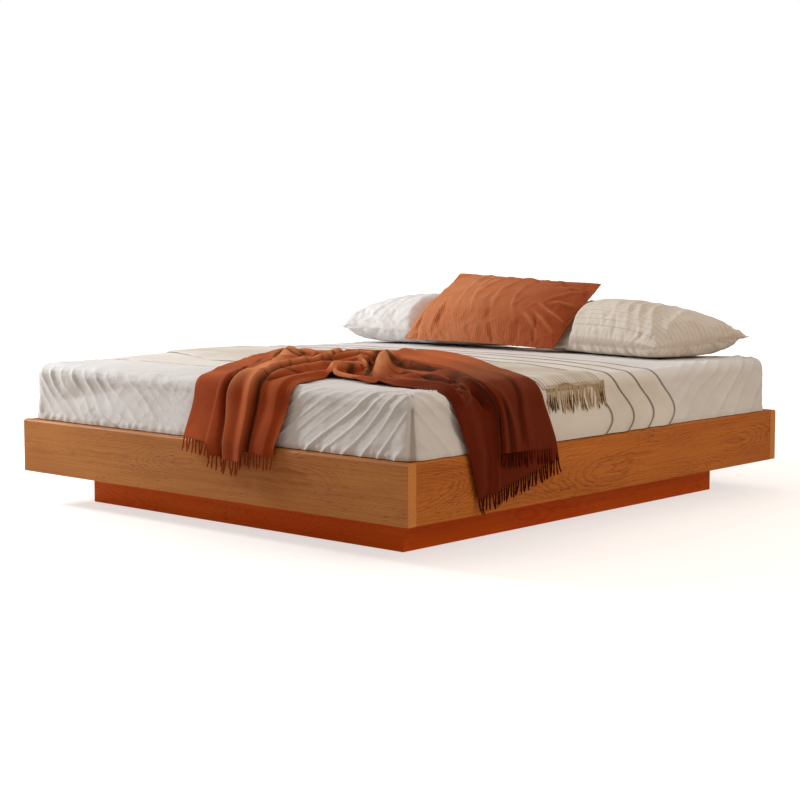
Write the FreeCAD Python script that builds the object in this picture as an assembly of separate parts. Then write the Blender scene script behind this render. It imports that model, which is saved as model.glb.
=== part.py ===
import FreeCAD, Part
import math
import os

# Storage bed in millimetres: a low frame floating on an inset plinth, with a slatted deck that
# lifts on hinges at the head and two gas struts, over six storage bays.
# The origin is the middle of the frame's footprint on the floor. X runs to the right as seen
# from the foot, Y from the foot to the head, Z up.

V = FreeCAD.Vector

# Outer frame of the bed
FRAME_WIDTH = 1880.0
FRAME_LENGTH = 2130.0
RAIL_HEIGHT = 190.0
RAIL_THICKNESS = 36.0
RAIL_ROUND = 10.0

# Plinth that the frame stands on
PLINTH_HEIGHT = 118.0
PLINTH_INSET = 178.0
PLINTH_BOARD = 25.0

# Mattress: its thickness, how deep it sits in the frame and the gaps to the rails round it,
# which leave a 180 by 200 size that comes a little under
MATTRESS_THICKNESS = 233.0
MATTRESS_RECESS = 44.0
MATTRESS_SIDE_GAP = 7.0
MATTRESS_HEAD_GAP = 38.0
MATTRESS_FOOT_GAP = 30.0

# Deck of square steel tube with slats in plastic holders
TUBE_SIZE = 25.0
TUBE_WALL = 1.5
SLAT_THICKNESS = 8.0
SLAT_WIDTH = 62.0
SLAT_COUNT = 14
HOLDER_WALL = 2.0

# Hinge axis of the deck, measured from the head rail, and its knuckles
HINGE_PLATE = 5.0
KNUCKLE_RADIUS = 6.0
HINGE_PIN_RADIUS = 3.0
HINGE_BELOW_RAIL_TOP = 23.0

# Gas struts: both pins lie on one circle round the hinge axis, so a strut turns by half the
# deck's angle, and its length follows from the circle
STRUT_CIRCLE_RADIUS = 300.0
STRUT_BASE_DROP = 240.0
STRUT_DECK_DROP = 80.0
STRUT_FROM_PLINTH = 32.0

# Clearances
PIN_CLEARANCE = 0.05
FIT_GAP = 0.25
SEAT_GAP = 0.3
RUNNING_GAP = 2.0
CUT_OVERRUN = 1.0

# Heights and inner faces that several pieces share
RAIL_BOTTOM = PLINTH_HEIGHT
RAIL_TOP = RAIL_BOTTOM + RAIL_HEIGHT
OUTER_X = FRAME_WIDTH / 2
OUTER_Y = FRAME_LENGTH / 2
INNER_X = OUTER_X - RAIL_THICKNESS
INNER_Y = OUTER_Y - RAIL_THICKNESS
PLINTH_OUTER_X = OUTER_X - PLINTH_INSET
PLINTH_OUTER_Y = OUTER_Y - PLINTH_INSET
PLINTH_INNER_X = PLINTH_OUTER_X - PLINTH_BOARD
PLINTH_INNER_Y = PLINTH_OUTER_Y - PLINTH_BOARD
STRUT_X = PLINTH_INNER_X - STRUT_FROM_PLINTH
MATTRESS_BOTTOM = RAIL_TOP - MATTRESS_RECESS
DECK_TOP = MATTRESS_BOTTOM - SLAT_THICKNESS - 2 * HOLDER_WALL
DECK_BOTTOM = DECK_TOP - TUBE_SIZE
HINGE_Y = INNER_Y - HINGE_PLATE - KNUCKLE_RADIUS
HINGE_Z = RAIL_TOP - HINGE_BELOW_RAIL_TOP
SIDES = {"left": -1, "right": 1}

# How far an edge may lean, as a share of its length, and still count as parallel
PARALLEL_SHARE = 0.001

os.makedirs("parts", exist_ok=True)


def write(name, shape):
    """Writes one node's shape to its STEP file."""
    shape.exportStep("parts/" + name + ".step")


def box(x0, x1, y0, y1, z0, z1):
    """A box between two corners, in any order."""
    corner = V(min(x0, x1), min(y0, y1), min(z0, z1))
    return Part.makeBox(abs(x1 - x0), abs(y1 - y0), abs(z1 - z0), corner)


def rod(start, end, radius):
    """A round bar between two points."""
    line = end - start
    return Part.makeCylinder(radius, line.Length, start, line)


def prism(points, travel):
    """A closed outline of points pushed along a vector."""
    return Part.Face(Part.makePolygon(points + [points[0]])).extrude(travel)


def fuse(shapes):
    """Joins shapes into one and drops the seams between flush faces."""
    return shapes[0].multiFuse(shapes[1:]).removeSplitter()


def cut_by(shape, tools):
    """A shape with several others taken from it, one after the other."""
    for tool in tools:
        shape = shape.cut(tool)
    return shape


def unit(vector):
    """The vector scaled to one."""
    copy = V(vector)
    copy.normalize()
    return copy


def edges_along(shape, direction, test):
    """Straight edges of a shape that run along a direction and pass a test of their middle."""
    found = []
    for edge in shape.Edges:
        run = edge.Vertexes[-1].Point - edge.Vertexes[0].Point
        if run.Length > 0 and run.cross(direction).Length < run.Length * PARALLEL_SHARE:
            if test(edge.CenterOfMass):
                found.append(edge)
    return found


# Screws: a countersunk shank with a flat head, and the hole that it leaves
SCREW_RADIUS = 2.0
SCREW_HEAD_RADIUS = 4.5
SCREW_HEAD_HEIGHT = 2.0
BOLT_RADIUS = 3.5
BOLT_HEAD_RADIUS = 7.0
BOLT_HEAD_HEIGHT = 4.0


def fastener(seat, direction, length, radius, head_radius, head_height):
    """A shank that goes in from its seat along a direction, with a head outside the seat."""
    shank = Part.makeCylinder(radius, length, seat, direction)
    head = Part.makeCylinder(head_radius, head_height, seat, direction * -1)
    return fuse([shank, head])


def screw(seat, direction, length):
    return fastener(seat, direction, length, SCREW_RADIUS, SCREW_HEAD_RADIUS, SCREW_HEAD_HEIGHT)


def bolt(seat, direction, length):
    return fastener(seat, direction, length, BOLT_RADIUS, BOLT_HEAD_RADIUS, BOLT_HEAD_HEIGHT)


def hole(seat, direction, length, radius):
    """The clearance hole for a shank, the same length as the shank plus the fit."""
    return Part.makeCylinder(radius + FIT_GAP, length + FIT_GAP, seat, direction)


# Corner posts inside the frame, each with two bolts into the rails
POST_SIZE = 45.0
BOLT_GRIP = 22.0
BOLT_LEVEL_SHARES = (0.20, 0.30)
SOFFIT_THICKNESS = 18.0
SOFFIT_TOP = RAIL_BOTTOM + SOFFIT_THICKNESS

# Ledgers that carry the deck, with rubber bumpers on top
LEDGER_WIDTH = 35.0
LEDGER_HEIGHT = 35.0
BUMPER_RADIUS = 10.0
BUMPER_HEIGHT = 3.0
LEDGER_TOP = DECK_BOTTOM - BUMPER_HEIGHT - SEAT_GAP
LEDGER_BOTTOM = LEDGER_TOP - LEDGER_HEIGHT
LEDGER_INNER_X = INNER_X - LEDGER_WIDTH
LEDGER_INNER_Y = INNER_Y - LEDGER_WIDTH
LEDGER_SCREW_SHARES = (-0.75, -0.45, 0.12, 0.45, 0.75)
LEDGER_SCREW_GRIP = 18.0

# Steel angles that tie the soffit boards to the rails
ANGLE_LEG = 40.0
ANGLE_THICKNESS = 3.0
ANGLE_WIDTH = 60.0
ANGLE_SIDE_SHARES = (-0.62, 0.0, 0.62)
ANGLE_END_SHARES = (-0.5, 0.5)
ANGLE_SCREW_LENGTH = 14.0
ANGLE_SCREW_LEG_SHARE = 0.66
ANGLE_SCREW_SHIFT_SHARE = 0.25


def corner_bolts():
    """The bolts of the four corners: one along Y and one along X, at two heights."""
    along_y_share, along_x_share = BOLT_LEVEL_SHARES
    z_y = RAIL_BOTTOM + RAIL_HEIGHT * along_y_share
    z_x = RAIL_BOTTOM + RAIL_HEIGHT * along_x_share
    length = POST_SIZE + BOLT_GRIP
    places = []
    for side in (-1, 1):
        for end in (-1, 1):
            middle_x = side * (INNER_X - POST_SIZE / 2)
            middle_y = end * (INNER_Y - POST_SIZE / 2)
            places.append((V(middle_x, end * (INNER_Y - POST_SIZE), z_y), V(0, end, 0), length))
            places.append((V(side * (INNER_X - POST_SIZE), middle_y, z_x), V(side, 0, 0), length))
    return places


def ledger_screws():
    """The screws that hold the side and end ledgers on their rails."""
    places = []
    for side in (-1, 1):
        for share in LEDGER_SCREW_SHARES:
            seat = V(side * LEDGER_INNER_X, INNER_Y * share, LEDGER_TOP - LEDGER_HEIGHT / 2)
            places.append((seat, V(side, 0, 0), LEDGER_WIDTH + LEDGER_SCREW_GRIP))
    for end in (-1, 1):
        for share in ANGLE_END_SHARES:
            seat = V(INNER_X * share, end * LEDGER_INNER_Y, LEDGER_TOP - LEDGER_HEIGHT / 2)
            places.append((seat, V(0, end, 0), LEDGER_WIDTH + LEDGER_SCREW_GRIP))
    return places


def angle_places():
    """Where each steel angle stands: a point on the soffit at the rail, the way out to the rail
    and the way along it."""
    places = []
    for side in (-1, 1):
        for share in ANGLE_SIDE_SHARES:
            places.append((V(side * INNER_X, INNER_Y * share, SOFFIT_TOP), V(side, 0, 0), V(0, 1, 0)))
    for end in (-1, 1):
        for share in ANGLE_END_SHARES:
            places.append((V(INNER_X * share, end * INNER_Y, SOFFIT_TOP), V(0, end, 0), V(1, 0, 0)))
    return places


def angle_screws():
    """Two screws for each steel angle, one into the rail and one down into the soffit."""
    places = []
    reach = ANGLE_LEG * ANGLE_SCREW_LEG_SHARE
    shift = ANGLE_WIDTH * ANGLE_SCREW_SHIFT_SHARE
    for foot, out, along in angle_places():
        into_rail = foot - out * ANGLE_THICKNESS + V(0, 0, reach) + along * shift
        places.append((into_rail, out, ANGLE_THICKNESS + ANGLE_SCREW_LENGTH))
        into_soffit = foot - out * reach + V(0, 0, ANGLE_THICKNESS) - along * shift
        places.append((into_soffit, V(0, 0, -1), ANGLE_THICKNESS + ANGLE_SCREW_LENGTH))
    return places


BOLT_HOLES = [hole(seat, way, length, BOLT_RADIUS) for seat, way, length in corner_bolts()]
SCREWS = ledger_screws() + angle_screws()
SCREW_HOLES = [hole(seat, way, length, SCREW_RADIUS) for seat, way, length in SCREWS]


def drilled(shape, holes):
    """A piece with the holes that reach into it."""
    near = [one for one in holes if one.BoundBox.intersect(shape.BoundBox)]
    return shape.cut(near) if near else shape


def rails():
    """Foot and head rails run the full width, and the side rails stand between them. Their top
    edges are rounded, the outer ones and the ends of the long ones too."""
    def top(point):
        return point.z > RAIL_TOP - RAIL_ROUND

    for name, end in (("foot_rail", -1), ("head_rail", 1)):
        rail = box(-OUTER_X, OUTER_X, end * INNER_Y, end * OUTER_Y, RAIL_BOTTOM, RAIL_TOP)
        rail = rail.makeFillet(RAIL_ROUND, edges_along(rail, V(1, 0, 0), top))
        write(name, drilled(rail, BOLT_HOLES + SCREW_HOLES))
    for name, side in SIDES.items():
        rail = box(side * INNER_X, side * OUTER_X, -INNER_Y, INNER_Y, RAIL_BOTTOM, RAIL_TOP)
        rail = rail.makeFillet(RAIL_ROUND, edges_along(rail, V(0, 1, 0), top))
        write(name + "_side_rail", drilled(rail, BOLT_HOLES + SCREW_HOLES))


def corner_posts():
    """Square posts in the corners, from the soffit to the height of the ledgers."""
    posts = []
    for side in (-1, 1):
        for end in (-1, 1):
            post = box(side * INNER_X, side * (INNER_X - POST_SIZE), end * INNER_Y,
                       end * (INNER_Y - POST_SIZE), SOFFIT_TOP, LEDGER_TOP)
            posts.append(drilled(post, BOLT_HOLES))
    write("corner_posts", Part.makeCompound(posts))
    write("corner_bolts", Part.makeCompound([bolt(*place) for place in corner_bolts()]))


def ledgers():
    """Battens along the four rails, between the posts, that the deck comes down on."""
    along, across = [], []
    reach_x = INNER_X - POST_SIZE
    reach_y = INNER_Y - POST_SIZE
    for side in (-1, 1):
        ledger = box(side * LEDGER_INNER_X, side * INNER_X, -reach_y, reach_y, LEDGER_BOTTOM, LEDGER_TOP)
        along.append(drilled(ledger, SCREW_HOLES))
        ledger = box(-reach_x, reach_x, side * LEDGER_INNER_Y, side * INNER_Y, LEDGER_BOTTOM, LEDGER_TOP)
        across.append(drilled(ledger, SCREW_HOLES))
    write("side_ledgers", Part.makeCompound(along))
    write("end_ledgers", Part.makeCompound(across))


BUMPER_SHARES = (-0.8, -0.27, 0.27, 0.8)


def deck_bumpers():
    """Rubber pads on the ledgers, just under the deck's tubes."""
    pads = []
    for share in BUMPER_SHARES:
        for side in (-1, 1):
            seat = V(side * (INNER_X - LEDGER_WIDTH / 2), INNER_Y * share, LEDGER_TOP)
            pads.append(Part.makeCylinder(BUMPER_RADIUS, BUMPER_HEIGHT, seat))
        seat = V(INNER_X * share, -(INNER_Y - LEDGER_WIDTH / 2), LEDGER_TOP)
        pads.append(Part.makeCylinder(BUMPER_RADIUS, BUMPER_HEIGHT, seat))
    write("deck_bumpers", Part.makeCompound(pads))


# Glue blocks in the plinth's corners, and the battens and panels of the storage floor
GLUE_BLOCK_LEG = 40.0
GLUE_BLOCK_HEIGHT = 50.0
BATTEN_WIDTH = 40.0
BATTEN_HEIGHT = 20.0
BATTEN_SHARES = (-0.94, -0.47, 0.0, 0.47, 0.94)
FLOOR_PANEL = 9.0
FLOOR_TOP = BATTEN_HEIGHT + FLOOR_PANEL


def plinth():
    """Foot and head boards across the full plinth with the side boards between them, and a
    three-cornered glue block in each corner under the plinth's top."""
    for name, end in (("foot", -1), ("head", 1)):
        write("plinth_" + name + "_board", box(-PLINTH_OUTER_X, PLINTH_OUTER_X, end * PLINTH_INNER_Y,
                                               end * PLINTH_OUTER_Y, 0, PLINTH_HEIGHT))
    for name, side in SIDES.items():
        write("plinth_" + name + "_board", box(side * PLINTH_INNER_X, side * PLINTH_OUTER_X,
                                               -PLINTH_INNER_Y, PLINTH_INNER_Y, 0, PLINTH_HEIGHT))
    blocks = []
    for side in (-1, 1):
        for end in (-1, 1):
            corner = V(side * PLINTH_INNER_X, end * PLINTH_INNER_Y, PLINTH_HEIGHT - GLUE_BLOCK_HEIGHT)
            along_x, along_y = V(side * GLUE_BLOCK_LEG, 0, 0), V(0, end * GLUE_BLOCK_LEG, 0)
            outline = [corner, corner - along_x, corner - along_y]
            blocks.append(prism(outline, V(0, 0, GLUE_BLOCK_HEIGHT)))
    write("plinth_glue_blocks", Part.makeCompound(blocks))


def storage_floor():
    """Battens on the floor inside the plinth, and two thin panels that meet over the middle one."""
    battens = []
    for share in BATTEN_SHARES:
        middle = PLINTH_INNER_X * share
        battens.append(box(middle - BATTEN_WIDTH / 2, middle + BATTEN_WIDTH / 2,
                           -PLINTH_INNER_Y, PLINTH_INNER_Y, 0, BATTEN_HEIGHT))
    write("floor_battens", Part.makeCompound(battens))
    for name, side in SIDES.items():
        write("floor_panel_" + name, box(0, side * PLINTH_INNER_X, -PLINTH_INNER_Y, PLINTH_INNER_Y,
                                         BATTEN_HEIGHT, FLOOR_TOP))


def soffits():
    """Boards that close the overhang from below, from the plinth's top out to the rails."""
    for name, side in SIDES.items():
        board = box(side * PLINTH_INNER_X, side * INNER_X, -INNER_Y, INNER_Y, RAIL_BOTTOM, SOFFIT_TOP)
        write("soffit_" + name, drilled(board, SCREW_HOLES))
    for name, end in (("foot", -1), ("head", 1)):
        board = box(-PLINTH_INNER_X, PLINTH_INNER_X, end * PLINTH_INNER_Y, end * INNER_Y,
                    RAIL_BOTTOM, SOFFIT_TOP)
        write("soffit_" + name, drilled(board, SCREW_HOLES))


def rail_angles():
    """Steel angles on the soffit against the rails, and the screws of the angles and ledgers."""
    angles = []
    for foot, out, along in angle_places():
        half = along * (ANGLE_WIDTH / 2)
        inner = foot - out * ANGLE_LEG
        upper = foot - out * ANGLE_THICKNESS
        rise, leg = V(0, 0, ANGLE_THICKNESS), V(0, 0, ANGLE_LEG)
        outline = [foot, foot + leg, upper + leg, upper + rise, inner + rise, inner]
        angle = prism([point - half for point in outline], half * 2)
        angles.append(drilled(angle, SCREW_HOLES))
    write("rail_angles", Part.makeCompound(angles))
    write("frame_screws", Part.makeCompound([screw(*place) for place in SCREWS]))


# Boards that divide the storage: a spine along the bed and two cross boards, half lapped
DIVIDER_THICKNESS = 18.0
DIVIDER_PLACE_SHARE = 0.29
DIVIDER_TOP = DECK_BOTTOM - RUNNING_GAP
LAP_HEIGHT = (FLOOR_TOP + DIVIDER_TOP) / 2


def dividers():
    """Each board stands on the storage floor between the plinth boards, and widens over the
    soffit to reach the ledgers. The cross boards are slotted from below and the spine from above."""
    half = DIVIDER_THICKNESS / 2
    slot = half + FIT_GAP
    place = INNER_Y * DIVIDER_PLACE_SHARE
    spine = fuse([box(-half, half, -PLINTH_INNER_Y, PLINTH_INNER_Y, FLOOR_TOP, DIVIDER_TOP),
                  box(-half, half, -LEDGER_INNER_Y, LEDGER_INNER_Y, SOFFIT_TOP, DIVIDER_TOP)])
    for name, end in (("foot", -1), ("head", 1)):
        middle = end * place
        near, far = middle - half, middle + half
        board = fuse([box(-PLINTH_INNER_X, PLINTH_INNER_X, near, far, FLOOR_TOP, DIVIDER_TOP),
                      box(-LEDGER_INNER_X, LEDGER_INNER_X, near, far, SOFFIT_TOP, DIVIDER_TOP)])
        near, far = middle - slot, middle + slot
        board = board.cut(box(-slot, slot, near, far, FLOOR_TOP - CUT_OVERRUN, LAP_HEIGHT))
        write("cross_divider_" + name, board)
        spine = spine.cut(box(-slot, slot, near, far, LAP_HEIGHT, DIVIDER_TOP + CUT_OVERRUN))
    write("centre_spine", spine)


# Hinges: three of them, each with two fixed knuckles and one moving knuckle between them
HINGE_SHARES = (-0.7, 0.0, 0.7)
KNUCKLE_LENGTH = 30.0
HINGE_PLATE_ABOVE = 12.0
HINGE_PLATE_BELOW = 30.0
HINGE_PIN_HEAD = 2.0


def hinges():
    """The fixed leaf is screwed to the head rail and ends in two knuckles. The moving leaf hangs
    from the middle knuckle down to the deck's head tube. A headed pin goes through all three."""
    fixed, moving, pins = [], [], []
    step = KNUCKLE_LENGTH / 2
    for share in HINGE_SHARES:
        middle = INNER_X * share
        start, end = middle - step * 3, middle + step * 3
        bore = rod(V(start - CUT_OVERRUN, HINGE_Y, HINGE_Z), V(end + CUT_OVERRUN, HINGE_Y, HINGE_Z),
                   HINGE_PIN_RADIUS + PIN_CLEARANCE)
        plate = box(start, end, INNER_Y - HINGE_PLATE, INNER_Y, HINGE_Z - HINGE_PLATE_BELOW,
                    HINGE_Z + HINGE_PLATE_ABOVE)
        leaf = [plate]
        for x0, x1 in ((start, middle - step - FIT_GAP), (middle + step + FIT_GAP, end)):
            leaf.append(rod(V(x0, HINGE_Y, HINGE_Z), V(x1, HINGE_Y, HINGE_Z), KNUCKLE_RADIUS))
            leaf.append(box(x0, x1, HINGE_Y, INNER_Y - HINGE_PLATE / 2,
                            HINGE_Z - HINGE_PLATE / 2, HINGE_Z + HINGE_PLATE / 2))
        fixed.append(fuse(leaf).cut(bore))
        arm = box(middle - step, middle + step, HINGE_Y - KNUCKLE_RADIUS,
                  HINGE_Y - KNUCKLE_RADIUS + HINGE_PLATE, DECK_BOTTOM, HINGE_Z)
        near, far = V(middle - step, HINGE_Y, HINGE_Z), V(middle + step, HINGE_Y, HINGE_Z)
        knuckle = rod(near, far, KNUCKLE_RADIUS)
        moving.append(fuse([arm, knuckle]).cut(bore))
        shank = rod(V(start, HINGE_Y, HINGE_Z), V(end, HINGE_Y, HINGE_Z), HINGE_PIN_RADIUS)
        head = rod(V(end, HINGE_Y, HINGE_Z), V(end + HINGE_PIN_HEAD, HINGE_Y, HINGE_Z), KNUCKLE_RADIUS)
        pins.append(fuse([shank, head]))
    write("hinge_fixed_leaves", Part.makeCompound(fixed))
    write("hinge_moving_leaves", Part.makeCompound(moving))
    write("hinge_pins", Part.makeCompound(pins))


# Deck tubes. The head tube lies against the hinges' moving leaves.
DECK_HEAD_Y = HINGE_Y - KNUCKLE_RADIUS
DECK_END_GAP = 12.0
DECK_SIDE_GAP = 8.0
DECK_FOOT_Y = -INNER_Y + DECK_END_GAP
DECK_SIDE_X = INNER_X - DECK_SIDE_GAP
BRACKET_PLATE = 4.0
STRUT_EYE_WIDTH = 10.0
STRUT_SHOULDER = 7.0
INNER_TUBE_X = STRUT_X + STRUT_EYE_WIDTH / 2 + STRUT_SHOULDER + BRACKET_PLATE
CAP_THICKNESS = 2.0


def tube_y(x0, x1, y0, y1):
    """A hollow square tube along Y at the deck's height."""
    outer = box(x0, x1, y0, y1, DECK_BOTTOM, DECK_TOP)
    low, high = min(x0, x1) + TUBE_WALL, max(x0, x1) - TUBE_WALL
    return outer.cut(box(low, high, y0, y1, DECK_BOTTOM + TUBE_WALL, DECK_TOP - TUBE_WALL))


def tube_x(x0, x1, y0, y1):
    """A hollow square tube along X at the deck's height."""
    outer = box(x0, x1, y0, y1, DECK_BOTTOM, DECK_TOP)
    low, high = y0 + TUBE_WALL, y1 - TUBE_WALL
    return outer.cut(box(x0, x1, low, high, DECK_BOTTOM + TUBE_WALL, DECK_TOP - TUBE_WALL))


def deck_frame():
    """Cross tubes at the foot and head run the full width, with five tubes along the bed between
    them, welded, and a plastic cap in each open end."""
    write("deck_foot_tube", tube_x(-DECK_SIDE_X, DECK_SIDE_X, DECK_FOOT_Y, DECK_FOOT_Y + TUBE_SIZE))
    write("deck_head_tube", tube_x(-DECK_SIDE_X, DECK_SIDE_X, DECK_HEAD_Y - TUBE_SIZE, DECK_HEAD_Y))
    start, end = DECK_FOOT_Y + TUBE_SIZE, DECK_HEAD_Y - TUBE_SIZE
    for name, side in SIDES.items():
        outer_tube = tube_y(side * (DECK_SIDE_X - TUBE_SIZE), side * DECK_SIDE_X, start, end)
        inner_tube = tube_y(side * INNER_TUBE_X, side * (INNER_TUBE_X + TUBE_SIZE), start, end)
        write("deck_side_tube_" + name, outer_tube)
        write("deck_inner_tube_" + name, inner_tube)
    write("deck_centre_tube", tube_y(-TUBE_SIZE / 2, TUBE_SIZE / 2, start, end))
    caps = []
    for side in (-1, 1):
        for y0 in (DECK_FOOT_Y, DECK_HEAD_Y - TUBE_SIZE):
            caps.append(box(side * DECK_SIDE_X, side * (DECK_SIDE_X + CAP_THICKNESS), y0, y0 + TUBE_SIZE,
                            DECK_BOTTOM, DECK_TOP))
    write("tube_caps", Part.makeCompound(caps))


# Slats and the holders at their ends
HOLDER_DEPTH = 30.0
HOLDER_RIM = 2.0
SLAT_END_MARGIN = 40.0


def slats():
    """Flat slats in two rows from the side tubes to the centre tube. A holder of plastic takes
    each end, and rests on the tube."""
    start = DECK_FOOT_Y + TUBE_SIZE + SLAT_END_MARGIN + SLAT_WIDTH / 2
    end = DECK_HEAD_Y - TUBE_SIZE - SLAT_END_MARGIN - SLAT_WIDTH / 2
    pitch = (end - start) / (SLAT_COUNT - 1)
    low, high = DECK_TOP + HOLDER_WALL, DECK_TOP + HOLDER_WALL + SLAT_THICKNESS
    holders = []
    for name, side in SIDES.items():
        row = []
        for count in range(SLAT_COUNT):
            middle = start + pitch * count
            near, far = middle - SLAT_WIDTH / 2, middle + SLAT_WIDTH / 2
            inner, outer = HOLDER_WALL, DECK_SIDE_X - HOLDER_WALL
            row.append(box(side * inner, side * outer, near, far, low, high))
            slot = box(side * inner, side * outer, near, far, low, high)
            for x0, x1 in ((DECK_SIDE_X - HOLDER_DEPTH, DECK_SIDE_X), (0, HOLDER_DEPTH)):
                holder = box(side * x0, side * x1, near - HOLDER_RIM, far + HOLDER_RIM,
                             DECK_TOP, MATTRESS_BOTTOM)
                holders.append(holder.cut(slot))
        write("slats_" + name, Part.makeCompound(row))
    write("slat_holders", Part.makeCompound(holders))


# Gas struts. The places of the pins come from the circle round the hinge axis.
STRUT_PIN_RADIUS = 4.0
STRUT_EYE_RADIUS = 9.0
CYLINDER_RADIUS = 11.0
CYLINDER_BORE = 8.0
CYLINDER_START = 12.0
CYLINDER_BORE_START = 20.0
CYLINDER_CAP = 8.0
ROD_RADIUS = 5.0
ROD_GLAND_RADIUS = 5.3
PISTON_RADIUS = 7.7
PISTON_LENGTH = 6.0
CLIP_RADIUS = 7.0
CLIP_THICKNESS = 2.0
STRUT_NECK = 4.8
BRACKET_HALF = 15.0
STRUT_TIP_GAP = 2.0
BASE_PIN_Y = HINGE_Y - math.sqrt(STRUT_CIRCLE_RADIUS ** 2 - STRUT_BASE_DROP ** 2)
BASE_PIN_Z = HINGE_Z - STRUT_BASE_DROP
DECK_PIN_Y = HINGE_Y - math.sqrt(STRUT_CIRCLE_RADIUS ** 2 - STRUT_DECK_DROP ** 2)
DECK_PIN_Z = HINGE_Z - STRUT_DECK_DROP


def strut_pins(side):
    """The middles of a strut's base pin and deck pin."""
    return V(side * STRUT_X, BASE_PIN_Y, BASE_PIN_Z), V(side * STRUT_X, DECK_PIN_Y, DECK_PIN_Z)


def strut_eye(pin):
    """The round end of a strut, before its bore."""
    half = V(STRUT_EYE_WIDTH / 2, 0, 0)
    return rod(pin - half, pin + half, STRUT_EYE_RADIUS)


def strut_bore(pin):
    """The bore for a strut's pin."""
    reach = V(STRUT_EYE_WIDTH, 0, 0)
    return rod(pin - reach, pin + reach, STRUT_PIN_RADIUS + PIN_CLEARANCE)


def gas_struts():
    """The cylinder turns on the base bracket and the rod on the deck bracket. The piston at the
    rod's tip runs in the cylinder's bore."""
    for name, side in SIDES.items():
        base, deck = strut_pins(side)
        way = unit(deck - base)
        closed = (deck - base).Length
        length = closed - STRUT_EYE_RADIUS - CYLINDER_CAP
        body = fuse([strut_eye(base), rod(base, base + way * CYLINDER_START, STRUT_NECK),
                     rod(base + way * CYLINDER_START, base + way * length, CYLINDER_RADIUS)])
        bore_end = length - CYLINDER_CAP
        body = body.cut([rod(base + way * CYLINDER_BORE_START, base + way * bore_end, CYLINDER_BORE),
                         rod(base + way * bore_end, base + way * (length + CUT_OVERRUN), ROD_GLAND_RADIUS),
                         strut_bore(base)])
        write("strut_cylinder_" + name, body)
        tip = base + way * (CYLINDER_BORE_START + STRUT_TIP_GAP)
        piston = rod(tip, tip + way * PISTON_LENGTH, PISTON_RADIUS)
        shaft = rod(tip, deck, ROD_RADIUS).fuse([strut_eye(deck), piston]).cut(strut_bore(deck))
        write("strut_rod_" + name, shaft)


def strut_bracket(pin, side, wall_x, low, high):
    """A plate against a wall, with a shoulder and the strut's pin."""
    near, far = pin.y - BRACKET_HALF, pin.y + BRACKET_HALF
    plate = box(wall_x, wall_x - side * BRACKET_PLATE, near, far, low, high)
    out = V(side, 0, 0)
    face = pin + out * (STRUT_EYE_WIDTH / 2 + FIT_GAP)
    wall = V(wall_x - side * BRACKET_PLATE / 2, pin.y, pin.z)
    tip = pin - out * (STRUT_EYE_WIDTH / 2 + FIT_GAP + CLIP_THICKNESS)
    return fuse([plate, rod(face, wall, STRUT_SHOULDER), rod(tip, wall, STRUT_PIN_RADIUS)])


def strut_clip(pin, side):
    """A ring that keeps the eye on its pin."""
    out = V(side, 0, 0)
    tip = pin - out * (STRUT_EYE_WIDTH / 2 + FIT_GAP + CLIP_THICKNESS)
    inner = pin - out * (STRUT_EYE_WIDTH / 2 + FIT_GAP)
    return rod(tip, inner, CLIP_RADIUS).cut(rod(tip - out, inner + out, STRUT_PIN_RADIUS))


def strut_brackets():
    """Base brackets on the plinth's side boards, and deck brackets hanging from the inner tubes."""
    on_base, on_deck, base_clips, deck_clips = [], [], [], []
    for side in (-1, 1):
        base, deck = strut_pins(side)
        low, high = base.z - STRUT_EYE_RADIUS, base.z + BRACKET_HALF
        on_base.append(strut_bracket(base, side, side * PLINTH_INNER_X, low, high))
        low, high = deck.z - STRUT_EYE_RADIUS, DECK_TOP
        on_deck.append(strut_bracket(deck, side, side * INNER_TUBE_X, low, high))
        base_clips.append(strut_clip(base, side))
        deck_clips.append(strut_clip(deck, side))
    write("strut_base_brackets", Part.makeCompound(on_base))
    write("strut_deck_brackets", Part.makeCompound(on_deck))
    write("strut_base_clips", Part.makeCompound(base_clips))
    write("strut_deck_clips", Part.makeCompound(deck_clips))


# Pull tabs of webbing at the foot of the deck, in the gap in front of the mattress
TAB_SHARES = (-0.5, 0.5)
TAB_WIDTH = 60.0
TAB_THICKNESS = 3.0
TAB_BELOW_RAIL_TOP = 10.0


def pull_tabs():
    tabs = []
    for share in TAB_SHARES:
        middle = INNER_X * share
        tabs.append(box(middle - TAB_WIDTH / 2, middle + TAB_WIDTH / 2, DECK_FOOT_Y - TAB_THICKNESS,
                        DECK_FOOT_Y, DECK_BOTTOM, RAIL_TOP - TAB_BELOW_RAIL_TOP))
    write("pull_tabs", Part.makeCompound(tabs))


# Mattress with its crown and its sides drawn in at mid height, and the sheet and cover on it
MATTRESS_CROWN_HEIGHT = 18.0
MATTRESS_WAIST_DEPTH = 6.0
MATTRESS_EDGE_RADIUS = 28.0
SHEET_THICKNESS = 3.0
COVER_THICKNESS = 3.0
COVER_FOOT_SHARE = -0.72
COVER_EDGE_SHARES = (0.36, 0.21, 0.09, -0.05)
COVER_CLEAR = 1.0
MATTRESS_HALF_X = INNER_X - MATTRESS_SIDE_GAP
MATTRESS_HALF_Y = INNER_Y - (MATTRESS_HEAD_GAP + MATTRESS_FOOT_GAP) / 2
MATTRESS_Y = INNER_Y - MATTRESS_HEAD_GAP - MATTRESS_HALF_Y
MATTRESS_TOP = MATTRESS_BOTTOM + MATTRESS_THICKNESS


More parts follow.
